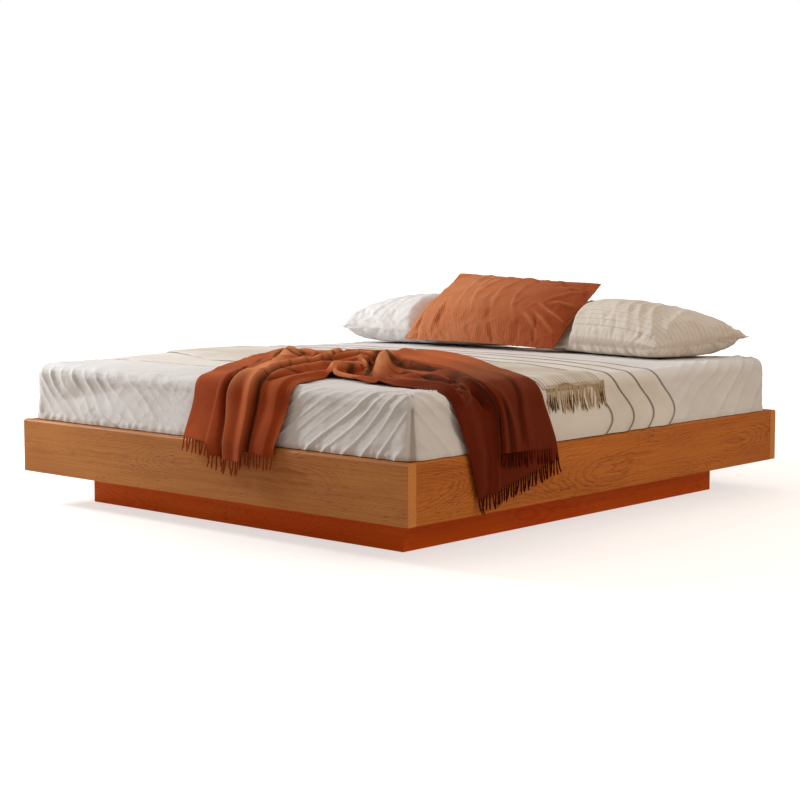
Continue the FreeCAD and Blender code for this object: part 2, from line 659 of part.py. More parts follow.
def padded_outline(half, grow, across, up):
    """One cross-section of the mattress, grown by a layer: a flat bottom, sides drawn in at mid
    height, rounded top edges and a shallow crown."""
    def at(u, w):
        return across * u + up * w

    low = MATTRESS_BOTTOM
    high = MATTRESS_TOP + grow
    side = half + grow
    edge = MATTRESS_EDGE_RADIUS + grow
    shoulder = high - edge
    middle = (low + shoulder) / 2
    slant = edge * (1 - math.sqrt(0.5))
    drawn = side - MATTRESS_WAIST_DEPTH
    crown = high + MATTRESS_CROWN_HEIGHT
    turn, bend = side - edge, side - slant
    edges = [Part.makeLine(at(-side, low), at(side, low)),
             Part.Arc(at(side, low), at(drawn, middle), at(side, shoulder)).toShape(),
             Part.Arc(at(side, shoulder), at(bend, high - slant), at(turn, high)).toShape(),
             Part.Arc(at(turn, high), at(0, crown), at(-turn, high)).toShape(),
             Part.Arc(at(-turn, high), at(-bend, high - slant), at(-side, shoulder)).toShape(),
             Part.Arc(at(-side, shoulder), at(-drawn, middle), at(-side, low)).toShape()]
    return Part.Face(Part.Wire(edges))


def mattress_form(grow):
    """The mattress's outer shape with a layer all over it: the common part of a crowned block
    along the bed and one across it."""
    reach_x = MATTRESS_HALF_X + grow
    reach_y = MATTRESS_HALF_Y + grow
    across = padded_outline(MATTRESS_HALF_X, grow, V(1, 0, 0), V(0, 0, 1))
    across.translate(V(0, -reach_y, 0))
    along = padded_outline(MATTRESS_HALF_Y, grow, V(0, 1, 0), V(0, 0, 1))
    along.translate(V(-reach_x, 0, 0))
    block = across.extrude(V(0, 2 * reach_y, 0)).common(along.extrude(V(2 * reach_x, 0, 0)))
    block.translate(V(0, MATTRESS_Y, 0))
    return block


MATTRESS = mattress_form(0)
SHEETED = mattress_form(SHEET_THICKNESS)
COVER_STEPS = range(len(COVER_EDGE_SHARES) + 2)
COVERED = [mattress_form(SHEET_THICKNESS + COVER_THICKNESS * step) for step in COVER_STEPS]
COVER_FOOT_Y = MATTRESS_Y + MATTRESS_HALF_Y * COVER_FOOT_SHARE
BEDDING = COVERED[-1].common(box(-FRAME_WIDTH, FRAME_WIDTH, COVER_FOOT_Y, FRAME_LENGTH, 0, FRAME_LENGTH))


def mattress_and_sheet():
    """The mattress, and the fitted sheet over its top and sides."""
    write("mattress", MATTRESS)
    write("fitted_sheet", SHEETED.cut(MATTRESS))


def band(y0, y1, z0):
    """The space over the bed between two places along it, from a height up."""
    reach = FRAME_WIDTH
    return box(-reach, reach, y0, y1, z0, z0 + FRAME_WIDTH)


def coverlet():
    """A cover folded back on itself into four layers, each shorter than the one below, that hangs
    over both sides down to the rails."""
    layers = []
    for count, share in enumerate(COVER_EDGE_SHARES):
        end = MATTRESS_Y + MATTRESS_HALF_Y * share
        shell = COVERED[count + 1].cut(COVERED[count])
        layers.append(shell.common(band(COVER_FOOT_Y, end, RAIL_TOP + COVER_CLEAR)))
    write("coverlet", fuse(layers))


# Cream throw laid across the bed under the rust one, with a fringe on its right end.
# Its plan is in shares of half the mattress's width and length.
CREAM_PLAN_SHARES = ((-1.0, -0.42), (-0.5, -0.60), (0.2, -0.56), (1.2, -0.34), (1.2, -0.05), (0.3, -0.08),
                     (-1.0, -0.06))
CREAM_DROP_HEIGHT = 18.0
TASSEL_RADIUS = 1.8
CREAM_TASSEL_LENGTH = 85.0
CREAM_TASSEL_COUNT = 16
CREAM_END_SHARES = (-0.33, -0.07)


def plan_prism(shares, low):
    """A plan outline in shares of the mattress, pushed up from a height."""
    points = [V(MATTRESS_HALF_X * x, MATTRESS_Y + MATTRESS_HALF_Y * y, low) for x, y in shares]
    return prism(points, V(0, 0, FRAME_WIDTH))


def tassels(tops, length):
    """A fringe of hanging tassels from a row of points."""
    return Part.makeCompound([Part.makeCylinder(TASSEL_RADIUS, length, top, V(0, 0, -1)) for top in tops])


def cream_throw():
    """One layer over the cover, from the bed's left edge over the right one."""
    low = MATTRESS_TOP - CREAM_DROP_HEIGHT
    shell = COVERED[-1].cut(COVERED[-2])
    throw = shell.common(plan_prism(CREAM_PLAN_SHARES, low))
    write("cream_throw", throw)
    first, last = (MATTRESS_Y + MATTRESS_HALF_Y * share for share in CREAM_END_SHARES)
    step = (last - first) / (CREAM_TASSEL_COUNT - 1)
    x = MATTRESS_HALF_X + SHEET_THICKNESS + COVER_THICKNESS * len(COVER_EDGE_SHARES) + TASSEL_RADIUS
    tops = [V(x, first + step * count, low) for count in range(CREAM_TASSEL_COUNT)]
    write("cream_throw_fringe", tassels(tops, CREAM_TASSEL_LENGTH))


# Rust throw: a flat part on the bed, a fall over the foot rail and a fall over the right rail,
# both with their folds. Plan in shares of half the mattress's width and length.
THROW_THICKNESS = 4.0
THROW_PLAN_SHARES = ((-0.05, -1.0), (0.49, -1.0), (0.47, -0.97), (0.42, -0.82), (0.56, -0.79),
                     (0.75, -0.84), (1.0, -0.83), (1.0, -0.36), (0.70, -0.24), (0.28, 0.05),
                     (0.0, 0.18), (-0.21, 0.17), (-0.31, 0.09), (-0.39, -0.06), (-0.52, -0.17),
                     (-0.49, -0.30), (-0.41, -0.52), (-0.17, -0.83))
THROW_RAIL_GAP = 6.0
THROW_SIDE_GAP = 0.3
FOLD_COUNT = 4
FOLD_HEIGHT_SHARES = (0.5, 1.0, 1.4, 1.6)
FOLD_HEIGHT = 6.0
FOOT_FALL_SHARES = (-0.04, 0.50)
FOOT_HEM_BELOW_RAIL_TOP = 8.0
FALL_START_SHARE = 0.25
SIDE_FALL_SHARES = (-0.80, -0.37)
SIDE_HEM_SLOPE = 95.0
SIDE_HEM_HEIGHT = 200.0
THROW_TASSEL_LENGTH = 52.0
FOOT_TASSEL_COUNT = 22
SIDE_TASSEL_COUNT = 20


def folded_band(start, end, out, rise):
    """One cross-section of a hanging cloth: flat behind, with a row of rounded folds in front."""
    run = (end - start) * (1 / FOLD_COUNT)
    front = out * THROW_THICKNESS
    edges = [Part.makeLine(start + front, start), Part.makeLine(start, end),
             Part.makeLine(end, end + front)]
    for count in reversed(range(FOLD_COUNT)):
        near, far = start + front + run * count, start + front + run * (count + 1)
        crest = (near + far) / 2 + out * rise
        edges.append(Part.Arc(far, crest, near).toShape())
    return Part.Wire(edges)


def cloth_fall(stations):
    """A ruled loft through the cross-sections of a fall, each with its two ends and its front."""
    wires = []
    for (start, end, out), share in zip(stations, FOLD_HEIGHT_SHARES):
        wires.append(folded_band(start, end, out, FOLD_HEIGHT * share))
    return Part.makeLoft(wires, True, True)


def rust_throw():
    """The flat part is two layers over the sheet. Each fall starts on the mattress's edge, slants
    out past its rail's top edge and hangs down the rail's face."""
    top = MATTRESS_TOP
    under = SHEET_THICKNESS + COVER_THICKNESS * (len(COVER_EDGE_SHARES) + 1)
    plan = plan_prism(THROW_PLAN_SHARES, top - CREAM_DROP_HEIGHT)
    flat = mattress_form(under + THROW_THICKNESS).common(plan)
    x0, x1 = (MATTRESS_HALF_X * share for share in FOOT_FALL_SHARES)
    edge_y = MATTRESS_Y - MATTRESS_HALF_Y - SHEET_THICKNESS
    rail_y = -OUTER_Y - THROW_RAIL_GAP
    hem = RAIL_TOP - FOOT_HEM_BELOW_RAIL_TOP
    shoulder = edge_y + MATTRESS_EDGE_RADIUS
    start_drop = MATTRESS_EDGE_RADIUS * FALL_START_SHARE
    lines = ((shoulder, top + MATTRESS_CROWN_HEIGHT / 2, V(0, 0, 1)),
             (edge_y, top - start_drop, unit(V(0, -1, 1))),
             (rail_y, RAIL_TOP + RAIL_ROUND, V(0, -1, 0)), (rail_y, hem, V(0, -1, 0)))
    foot = cloth_fall([(V(x0, y, z), V(x1, y, z), out) for y, z, out in lines])
    y0, y1 = (MATTRESS_Y + MATTRESS_HALF_Y * share for share in SIDE_FALL_SHARES)
    edge_x = MATTRESS_HALF_X + under
    rail_x = OUTER_X + THROW_SIDE_GAP
    lines = ((edge_x - MATTRESS_EDGE_RADIUS, top + under + MATTRESS_CROWN_HEIGHT / 2, 0, V(0, 0, 1)),
             (edge_x, top + under - start_drop, 0, unit(V(1, 0, 1))),
             (rail_x, RAIL_TOP + RAIL_ROUND, 0, V(1, 0, 0)),
             (rail_x, SIDE_HEM_HEIGHT, SIDE_HEM_SLOPE, V(1, 0, 0)))
    side = cloth_fall([(V(x, y0, z), V(x, y1, z + slope), out) for x, z, slope, out in lines])
    throw = cut_by(fuse([flat, foot, side]), [SHEETED, BEDDING])
    write("rust_throw", throw)
    foot_row, side_row = [], []
    lift = THROW_THICKNESS / 2
    slope = SIDE_HEM_SLOPE / (y1 - y0)
    for count in range(FOOT_TASSEL_COUNT):
        share = (count + 1) / (FOOT_TASSEL_COUNT + 1)
        foot_row.append(V(x0 + (x1 - x0) * share, rail_y - lift, hem))
    for count in range(SIDE_TASSEL_COUNT):
        share = (count + 1) / (SIDE_TASSEL_COUNT + 1)
        height = SIDE_HEM_HEIGHT + SIDE_HEM_SLOPE * share - TASSEL_RADIUS * slope
        side_row.append(V(rail_x + lift, y0 + (y1 - y0) * share, height))
    write("rust_throw_fringe", tassels(foot_row + side_row, THROW_TASSEL_LENGTH))
    return throw


# Pillows and the lumbar cushion: length, depth, loft and how far their edges are drawn in
PILLOW_SIZE = (760.0, 410.0, 205.0)
PILLOW_WAIST_DEPTH = 20.0
PILLOW_PLACE_SHARE = 0.496
PILLOW_FROM_HEAD = 200.0
PILLOW_TURN_DEGREES = 5.0
PILLOW_SINK = 14.0
CUSHION_SIZE = (760.0, 390.0, 120.0)
CUSHION_WAIST_DEPTH = 18.0
CUSHION_PLACE_SHARE = -0.167
CUSHION_FROM_HEAD = 275.0
CUSHION_MIDDLE_HEIGHT = 165.0
CUSHION_LEAN_DEGREES = 44.0
CUSHION_TURN_DEGREES = -3.0
SEAM_HEIGHT = 6.0
SECTION_SHARES = (-1.0, -0.8, -0.4, 0.0, 0.4, 0.8, 1.0)
LOFT_SHARES = (0.0, 0.52, 0.88, 1.0, 0.88, 0.52, 0.0)
LOWER_SHARE = 0.45


def pillow_section(y, half, rise):
    """A lens across the pillow: a high crown above, a flatter one below, and a seam at each end."""
    seam = SEAM_HEIGHT / 2
    upper = seam + rise * (1 - LOWER_SHARE)
    lower = seam + rise * LOWER_SHARE
    edges = [Part.Arc(V(half, y, seam), V(0, y, upper), V(-half, y, seam)).toShape(),
             Part.makeLine(V(-half, y, seam), V(-half, y, -seam)),
             Part.Arc(V(-half, y, -seam), V(0, y, -lower), V(half, y, -seam)).toShape(),
             Part.makeLine(V(half, y, -seam), V(half, y, seam))]
    return Part.Wire(edges)


def pillow_form(size, draw_in):
    """A stuffed case: sections along its depth that swell to the middle, with the ends drawn in
    between the four corners, and the long sides drawn in by a curved cut."""
    length, depth, loft = size
    wires = []
    for share, rise_share in zip(SECTION_SHARES, LOFT_SHARES):
        half = length / 2 - draw_in * (1 - share * share)
        rise = (loft - SEAM_HEIGHT) * rise_share + SEAM_HEIGHT
        wires.append(pillow_section(depth / 2 * share, half, rise))
    form = Part.makeLoft(wires, True, False)
    for end in (-1, 1):
        corner = V(length / 2 + draw_in, end * depth / 2, -loft)
        other = V(-length / 2 - draw_in, end * depth / 2, -loft)
        inner = V(0, end * (depth / 2 - draw_in), -loft)
        wire = Part.Wire([Part.makeLine(other, corner), Part.Arc(corner, inner, other).toShape()])
        form = form.cut(Part.Face(wire).extrude(V(0, 0, 2 * loft)))
    return form


def pillows(throw):
    """Two pillows side by side at the head, each sunk a little where it lies, and the cushion
    that leans on them."""
    surface = MATTRESS_TOP + SHEET_THICKNESS + MATTRESS_CROWN_HEIGHT
    head_end = INNER_Y - MATTRESS_HEAD_GAP
    pillow_x = MATTRESS_HALF_X * PILLOW_PLACE_SHARE
    pillow_z = surface + PILLOW_SIZE[2] * LOWER_SHARE - PILLOW_SINK
    cushion_x = MATTRESS_HALF_X * CUSHION_PLACE_SHARE
    cushion = pillow_form(CUSHION_SIZE, CUSHION_WAIST_DEPTH)
    cushion.rotate(V(0, 0, 0), V(1, 0, 0), CUSHION_LEAN_DEGREES)
    cushion.rotate(V(0, 0, 0), V(0, 0, 1), CUSHION_TURN_DEGREES)
    cushion.translate(V(cushion_x, head_end - CUSHION_FROM_HEAD, surface + CUSHION_MIDDLE_HEIGHT))
    cushion = cut_by(cushion, [SHEETED, throw])
    write("lumbar_cushion", cushion)
    for name, side in SIDES.items():
        pillow = pillow_form(PILLOW_SIZE, PILLOW_WAIST_DEPTH)
        pillow.rotate(V(0, 0, 0), V(0, 0, 1), -side * PILLOW_TURN_DEGREES)
        pillow.translate(V(side * pillow_x, head_end - PILLOW_FROM_HEAD, pillow_z))
        write("pillow_" + name, cut_by(pillow, [SHEETED, cushion]))


rails()
corner_posts()
ledgers()
deck_bumpers()
plinth()
storage_floor()
soffits()
rail_angles()
dividers()
hinges()
deck_frame()
slats()
gas_struts()
strut_brackets()
pull_tabs()
mattress_and_sheet()
coverlet()
cream_throw()
pillows(rust_throw())
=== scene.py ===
import math
import bmesh
import bpy
import numpy as np
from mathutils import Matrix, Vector


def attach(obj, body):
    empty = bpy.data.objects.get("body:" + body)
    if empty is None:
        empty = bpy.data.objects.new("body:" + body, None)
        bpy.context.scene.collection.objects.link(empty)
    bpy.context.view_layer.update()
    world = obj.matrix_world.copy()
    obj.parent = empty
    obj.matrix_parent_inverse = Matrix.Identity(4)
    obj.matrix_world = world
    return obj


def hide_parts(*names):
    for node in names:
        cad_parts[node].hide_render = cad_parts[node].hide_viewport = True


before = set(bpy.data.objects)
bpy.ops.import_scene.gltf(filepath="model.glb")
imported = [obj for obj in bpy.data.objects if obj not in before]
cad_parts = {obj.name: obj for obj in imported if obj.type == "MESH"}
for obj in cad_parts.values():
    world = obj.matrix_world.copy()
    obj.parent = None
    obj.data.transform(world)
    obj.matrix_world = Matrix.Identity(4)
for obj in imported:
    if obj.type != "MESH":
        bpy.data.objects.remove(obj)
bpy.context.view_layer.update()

# Rails: four deep boards of orange cherry. The foot and head rails run the full width and show
# their end grain at the sides, and the side rails stand between them. Oiled, with eased edges.


def colour(red, green, blue):
    """A screen colour from 0 to 255 as the linear colour that a shader takes."""
    screen = np.array((red, green, blue)) / 255
    linear = np.where(screen < 0.04, screen / 12.92, ((screen + 0.055) / 1.055) ** 2.4)
    return (*linear, 1.0)


def node(tree, kind, inputs=(), **settings):
    """A shader node with its settings, and its inputs set or linked."""
    made = tree.nodes.new(kind)
    for key, value in settings.items():
        setattr(made, key, value)
    for key, value in dict(inputs).items():
        if isinstance(value, bpy.types.NodeSocket):
            tree.links.new(value, made.inputs[key])
        else:
            made.inputs[key].default_value = value
    return made


def math_node(tree, operation, *values):
    return node(tree, "ShaderNodeMath", dict(enumerate(values)), operation=operation).outputs[0]


def length_of(tree, vector):
    return node(tree, "ShaderNodeVectorMath", {0: vector}, operation="LENGTH").outputs["Value"]


def own_place(tree):
    """A point's place in its own piece's coordinates."""
    return node(tree, "ShaderNodeTexCoord").outputs["Object"]


def noise(tree, vector, scale, detail=3.0, rough=0.5):
    """Noise from 0 to 1 over a vector that is stretched by three scales first."""
    stretched = node(tree, "ShaderNodeMapping", {"Vector": vector, "Scale": scale}).outputs[0]
    return node(tree, "ShaderNodeTexNoise", {"Vector": stretched, "Scale": 1.0, "Detail": detail,
                                             "Roughness": rough}).outputs["Fac"]


def ramp(tree, value, *stops):
    """A number passed through a ramp of (place, number) stops."""
    made = node(tree, "ShaderNodeValToRGB", {"Fac": value})
    while len(made.color_ramp.elements) < len(stops):
        made.color_ramp.elements.new(0.5)
    for element, (place, level) in zip(made.color_ramp.elements, stops):
        element.position = place
        element.color = (level, level, level, 1)
    return made.outputs["Color"]


def blend_colour(tree, share, first, second):
    """The first colour, going over to the second by a share."""
    return node(tree, "ShaderNodeMix", {0: share, 6: first, 7: second}, data_type="RGBA").outputs[2]


def bump(tree, height, distance):
    return node(tree, "ShaderNodeBump", {"Height": height, "Strength": 1.0, "Distance": distance}).outputs[0]


def new_finish(name, **settings):
    """A material with its principled shader, and that shader's plain settings."""
    material = bpy.data.materials.new(name)
    material.use_nodes = True
    shader = material.node_tree.nodes["Principled BSDF"]
    for key, value in settings.items():
        shader.inputs[key.replace("_", " ")].default_value = value
    return material, material.node_tree, shader


def wear(shader, tree, base, rough, height, distance):
    """Links colour, roughness and bump into the shader."""
    tree.links.new(base, shader.inputs["Base Color"])
    tree.links.new(rough, shader.inputs["Roughness"])
    tree.links.new(bump(tree, height, distance), shader.inputs["Normal"])


def finish_nodes(material, *names):
    """Gives CAD nodes their material."""
    for name in names:
        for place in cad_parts[name].material_slots:
            place.material = material


RING_WIDTH = 0.0052
NEAREST_HEART = 0.012


def wood_finish(name, turn, middle_height, light, dark, fleck, seed, end_grain=None, flame=1.15, line=0.24,
                wander=0.012):
    """A plain-sawn board with its grain along X once turned. The rings are cones round a heart that
    lies behind the face and drifts slowly: ring number = hypot(height, depth) / ring width. Where
    the depth changes along the board the rings close into flames, and elsewhere they run straight.
    Fine streaks and short dark flecks lie along the grain, and the sawn ends are speckled."""
    material, tree, shader = new_finish(name, Specular_IOR_Level=0.22)
    axes = node(tree, "ShaderNodeTexCoord")
    turned = node(tree, "ShaderNodeMapping", {"Vector": axes.outputs["Object"], "Rotation": (0, 0, turn),
                                              "Location": (seed, 0, 0)}).outputs[0]
    parts = node(tree, "ShaderNodeSeparateXYZ", {"Vector": turned})
    along = node(tree, "ShaderNodeCombineXYZ", {"X": parts.outputs[0]}).outputs[0]
    depth = math_node(tree, "MULTIPLY_ADD", noise(tree, along, (flame, 1, 1), 1.0), 0.34, -0.085)
    depth = math_node(tree, "MAXIMUM", depth, NEAREST_HEART)
    drift = math_node(tree, "MULTIPLY_ADD", noise(tree, along, (0.7, 1, 1), 1.0), 0.22, -middle_height - 0.11)
    height = math_node(tree, "ADD", parts.outputs[2], drift)
    heart = length_of(tree, node(tree, "ShaderNodeCombineXYZ", {"X": depth, "Y": height}).outputs[0])
    waver = math_node(tree, "MULTIPLY", noise(tree, turned, (5.0, 6.0, 26.0), 4.0, 0.62), wander)
    number = math_node(tree, "MULTIPLY", math_node(tree, "ADD", heart, waver), 1 / RING_WIDTH)
    ring = ramp(tree, math_node(tree, "FRACT", number), (0.0, 0.0), (0.50, 0.15), (0.82, 1.0), (1.0, 0.0))
    strength = ramp(tree, noise(tree, turned, (2.5, 3.0, 9.0), 3.0), (0.36, 0.10), (0.66, 1.0))
    ring = math_node(tree, "MULTIPLY", ring, strength)
    streak = noise(tree, turned, (2.6, 24.0, 170.0), 4.0, 0.62)
    mottle = noise(tree, turned, (1.8, 5.0, 9.0), 2.0)
    flecks = ramp(tree, noise(tree, turned, (30.0, 90.0, 300.0), 1.5), (0.59, 0.0), (0.68, 1.0))
    patches = ramp(tree, noise(tree, turned, (3.5, 3.0, 14.0), 2.0), (0.44, 0.10), (0.62, 1.0))
    flecks = math_node(tree, "MULTIPLY", flecks, patches)
    shade = math_node(tree, "MULTIPLY_ADD", ring, line, math_node(tree, "MULTIPLY", streak, 0.62))
    shade = ramp(tree, math_node(tree, "MULTIPLY_ADD", mottle, 0.55, shade), (0.40, 0.0), (0.98, 1.0))
    base = blend_colour(tree, shade, light, dark)
    base = blend_colour(tree, math_node(tree, "MULTIPLY", flecks, 0.55), base, fleck)
    if end_grain:
        side = node(tree, "ShaderNodeSeparateXYZ", {"Vector": axes.outputs["Normal"]}).outputs[0]
        cut = ramp(tree, math_node(tree, "ABSOLUTE", side), (0.80, 0.0), (0.92, 1.0))
        speckle = ramp(tree, noise(tree, turned, (420.0, 520.0, 480.0), 2.0), (0.35, 0.0), (0.95, 1.0))
        base = blend_colour(tree, cut, base, blend_colour(tree, speckle, end_grain, dark))
    rough = math_node(tree, "MULTIPLY_ADD", streak, 0.22, 0.40)
    wear(shader, tree, base, rough, math_node(tree, "SUBTRACT", streak, flecks), 0.0004)
    return material


RAIL_MIDDLE = 0.213
long_rail_wood = wood_finish("long_rail_cherry", 0.0, RAIL_MIDDLE, colour(204, 135, 70), colour(158, 88, 36),
                             colour(100, 52, 21), 0.4, end_grain=colour(232, 154, 79))
# The side rails share the rails' cherry, but their colours are a deeper, more saturated orange: painted warm
# shade, as on the bed's shaded right side.
side_rail_wood_painted_shade = wood_finish("side_rail_cherry_painted_shade", -math.pi / 2, RAIL_MIDDLE, colour(215, 129, 50),
                             colour(168, 84, 24), colour(110, 52, 13), 5.3, flame=0.75,
                             line=0.42, wander=0.022)
finish_nodes(long_rail_wood, "foot_rail", "head_rail")
finish_nodes(side_rail_wood_painted_shade, "left_side_rail", "right_side_rail")

# Plinth: the inset base of four boards, with three-cornered glue blocks inside its corners. Its
# deep, saturated orange, redder than the rails, is partly stain and partly a painted glow of
# warm light bounced under the bed.
PLINTH_MIDDLE = 0.059
# Stain and painted glow together: these colours also paint in the warm light under the bed.
plinth_stain_and_glow_colours = (colour(255, 122, 12), colour(240, 82, 4), colour(188, 54, 2))
finish_nodes(wood_finish("plinth_stain_and_glow_across", 0.0, PLINTH_MIDDLE, *plinth_stain_and_glow_colours, 2.7),
             "plinth_foot_board", "plinth_head_board")
finish_nodes(wood_finish("plinth_stain_and_glow_along", -math.pi / 2, PLINTH_MIDDLE, *plinth_stain_and_glow_colours, 8.1),
             "plinth_left_board", "plinth_right_board")

# Carcass inside the frame: pine posts, ledgers, battens and glue blocks, and birch-faced boards
# for the soffits, the storage floor and its dividers. Sanded and left plain.
PINE_MIDDLE = 0.2
BIRCH_MIDDLE = 0.1
pine = (colour(222, 184, 132), colour(196, 150, 98), colour(150, 104, 60))
birch = (colour(226, 200, 160), colour(206, 174, 130), colour(168, 132, 92))
finish_nodes(wood_finish("pine_across", 0.0, PINE_MIDDLE, *pine, 1.1),
             "corner_posts", "end_ledgers", "plinth_glue_blocks")
finish_nodes(wood_finish("pine_along", -math.pi / 2, PINE_MIDDLE, *pine, 3.9),
             "side_ledgers", "floor_battens")
finish_nodes(wood_finish("birch_across", 0.0, BIRCH_MIDDLE, *birch, 6.2),
             "soffit_foot", "soffit_head", "cross_divider_foot", "cross_divider_head")
finish_nodes(wood_finish("birch_along", -math.pi / 2, BIRCH_MIDDLE, *birch, 7.4),
             "soffit_left", "soffit_right", "floor_panel_left", "floor_panel_right", "centre_spine")

# Fittings of the frame: zinc-plated angles, screws, bolts and hinges, black powder-coated steel
# tube for the deck, moulded holders and caps, and rubber bumpers on the ledgers.


def coated_finish(name, tone, metallic, rough_low, rough_high, grain, depth):
    """A coated or moulded surface: its tone and roughness vary a little over a fine grain."""
    material, tree, shader = new_finish(name, Metallic=metallic)
    cloud = noise(tree, own_place(tree), (9.0, 9.0, 9.0), 3.0)
    fine = noise(tree, own_place(tree), (grain, grain, grain), 2.0)
    darker = tuple(part * 0.72 for part in tone[:3]) + (1.0,)
    both = math_node(tree, "ADD", cloud, fine)
    rough = math_node(tree, "MULTIPLY_ADD", both, (rough_high - rough_low) / 2, rough_low)
    wear(shader, tree, blend_colour(tree, cloud, tone, darker), rough, fine, depth)
    return material


finish_nodes(coated_finish("zinc_plate", colour(196, 198, 200), 1.0, 0.25, 0.5, 700.0, 0.0001),
             "rail_angles", "frame_screws", "corner_bolts", "hinge_fixed_leaves", "hinge_moving_leaves",
             "hinge_pins", "strut_base_brackets", "strut_base_clips", "strut_deck_brackets",
             "strut_deck_clips")
finish_nodes(coated_finish("black_powder_coat", colour(46, 46, 48), 0.2, 0.45, 0.65, 1500.0, 0.0002),
             "deck_foot_tube", "deck_head_tube", "deck_centre_tube", "deck_inner_tube_left",
             "deck_inner_tube_right", "deck_side_tube_left", "deck_side_tube_right")
finish_nodes(coated_finish("black_strut_paint", colour(30, 30, 32), 0.3, 0.25, 0.4, 900.0, 0.0001),
             "strut_cylinder_left", "strut_cylinder_right")
finish_nodes(coated_finish("strut_chrome", colour(214, 216, 220), 1.0, 0.06, 0.16, 500.0, 0.00005),
             "strut_rod_left", "strut_rod_right")
finish_nodes(coated_finish("moulded_holder", colour(58, 58, 60), 0.0, 0.4, 0.6, 1100.0, 0.0001),
             "slat_holders", "tube_caps")
finish_nodes(coated_finish("bumper_rubber", colour(34, 33, 32), 0.0, 0.7, 0.9, 1300.0, 0.0002),
             "deck_bumpers")

# Deck slats: bent birch laminate in two rows, with their grain across the bed.
SLAT_MIDDLE = 0.27
slat_colours = (colour(232, 206, 164), colour(212, 180, 132), colour(170, 130, 86))
finish_nodes(wood_finish("slat_birch", 0.0, SLAT_MIDDLE, *slat_colours, 9.6), "slats_left", "slats_right")

# Pull tabs: woven webbing at the foot of the deck, folded over and stitched to the tube.
webbing, tree, shader = new_finish("pull_webbing", Specular_IOR_Level=0.2)
rib = node(tree, "ShaderNodeTexWave", {"Vector": own_place(tree), "Scale": 110.0, "Distortion": 0.4},
           bands_direction="Z")
thread = node(tree, "ShaderNodeTexWave", {"Vector": own_place(tree), "Scale": 220.0, "Distortion": 0.6},
              bands_direction="X")
weave = math_node(tree, "MULTIPLY", rib.outputs["Fac"], thread.outputs["Fac"])
wear(shader, tree, blend_colour(tree, weave, colour(54, 48, 44), colour(110, 100, 92)),
     ramp(tree, weave, (0.0, 0.7), (1.0, 0.9)), weave, 0.0006)
finish_nodes(webbing, "pull_tabs")

# Mattress: a sprung block with a knitted cover. Its top is crowned, its sides are drawn in at
# mid height, and a taped edge runs round the top and the bottom.
HALF_X = 0.897
HALF_Y = 0.995
MIDDLE_Y = -0.004
BED_LOW = 0.265
BED_EDGE = 0.497
BED_CORNER = 0.03
BASE_BEND = 0.02
CROWN = 0.018
SWELL = 0.010
WAIST = 0.006
TAPE = 0.002
CORNER_STEPS = 10


def ease(value):
    """Goes from 0 to 1 with a soft start and end."""
    value = np.clip(value, 0, 1)
    return value * value * (3 - 2 * value)


def crown(x, y):
    """How far the top rises over its edge: a parabola across times a quartic along, and a swell
    towards the left side and towards the head's corners, where nothing presses on it."""
    middle = 1 - np.minimum((x / HALF_X) ** 2, 1)
    middle = middle * (1 - np.minimum(np.abs((y - MIDDLE_Y) / HALF_Y) ** 4, 1))
    head = np.clip((y - 0.15) / 0.7, 0, 1) * np.clip((np.abs(x) - 0.5) / 0.35, 0, 1)
    return CROWN * middle + SWELL * np.maximum(ease((-x - 0.25) / 0.6), ease(head))


def plan_line(half_x, half_y, radius, steps):
    """A rectangle with rounded corners as one closed line that starts at the middle of the corner
    on the right of the foot and runs clockwise as seen from above: foot, left, head and right.
    Gives the points, their outward directions and each point's side."""
    corners = np.array([(1, -1), (-1, -1), (-1, 1), (1, 1)])
    outward = np.array([(0, -1), (-1, 0), (0, 1), (1, 0)])
    first = np.linspace(math.pi / 4, math.pi / 2, CORNER_STEPS, endpoint=False)[:, None]
    last = np.linspace(0, math.pi / 4, CORNER_STEPS, endpoint=False)[1:, None]
    points, normals, sides = [], [], []
    for number, count in enumerate(steps):
        here, there = corners[number], corners[(number + 1) % 4]
        out, before, after = outward[number], outward[number - 1], outward[(number + 1) % 4]
        start = here * (half_x, half_y) - here * radius
        end = there * (half_x, half_y) - there * radius
        straight = start + (end - start) * np.linspace(0, 1, count)[:, None]
        turn_in = before * np.cos(first) + out * np.sin(first)
        turn_out = out * np.cos(last) + after * np.sin(last)
        points += [start + turn_in * radius, straight + out * radius, end + turn_out * radius]
        normals += [turn_in, np.repeat(out[None], count, 0).astype(float), turn_out]
        sides.append(np.full(len(first) + count + len(last), number))
    return np.vstack(points), np.vstack(normals), np.concatenate(sides)


def grid_faces(index):
    """The faces of a grid of point numbers, one for each cell."""
    return np.stack([index[:-1, :-1], index[:-1, 1:], index[1:, 1:], index[1:, :-1]], -1).reshape(-1, 4)


def surface(name, grid, material, closed=False, attributes=()):
    """A mesh from a grid of points. Each cell of the grid is one face, and the last column joins
    the first if it is closed."""
    index = np.arange(grid.shape[0] * grid.shape[1]).reshape(grid.shape[:2])
    if closed:
        index = np.hstack([index, index[:, :1]])
    return mesh_piece(name, grid.reshape(-1, 3), grid_faces(index), material, attributes)


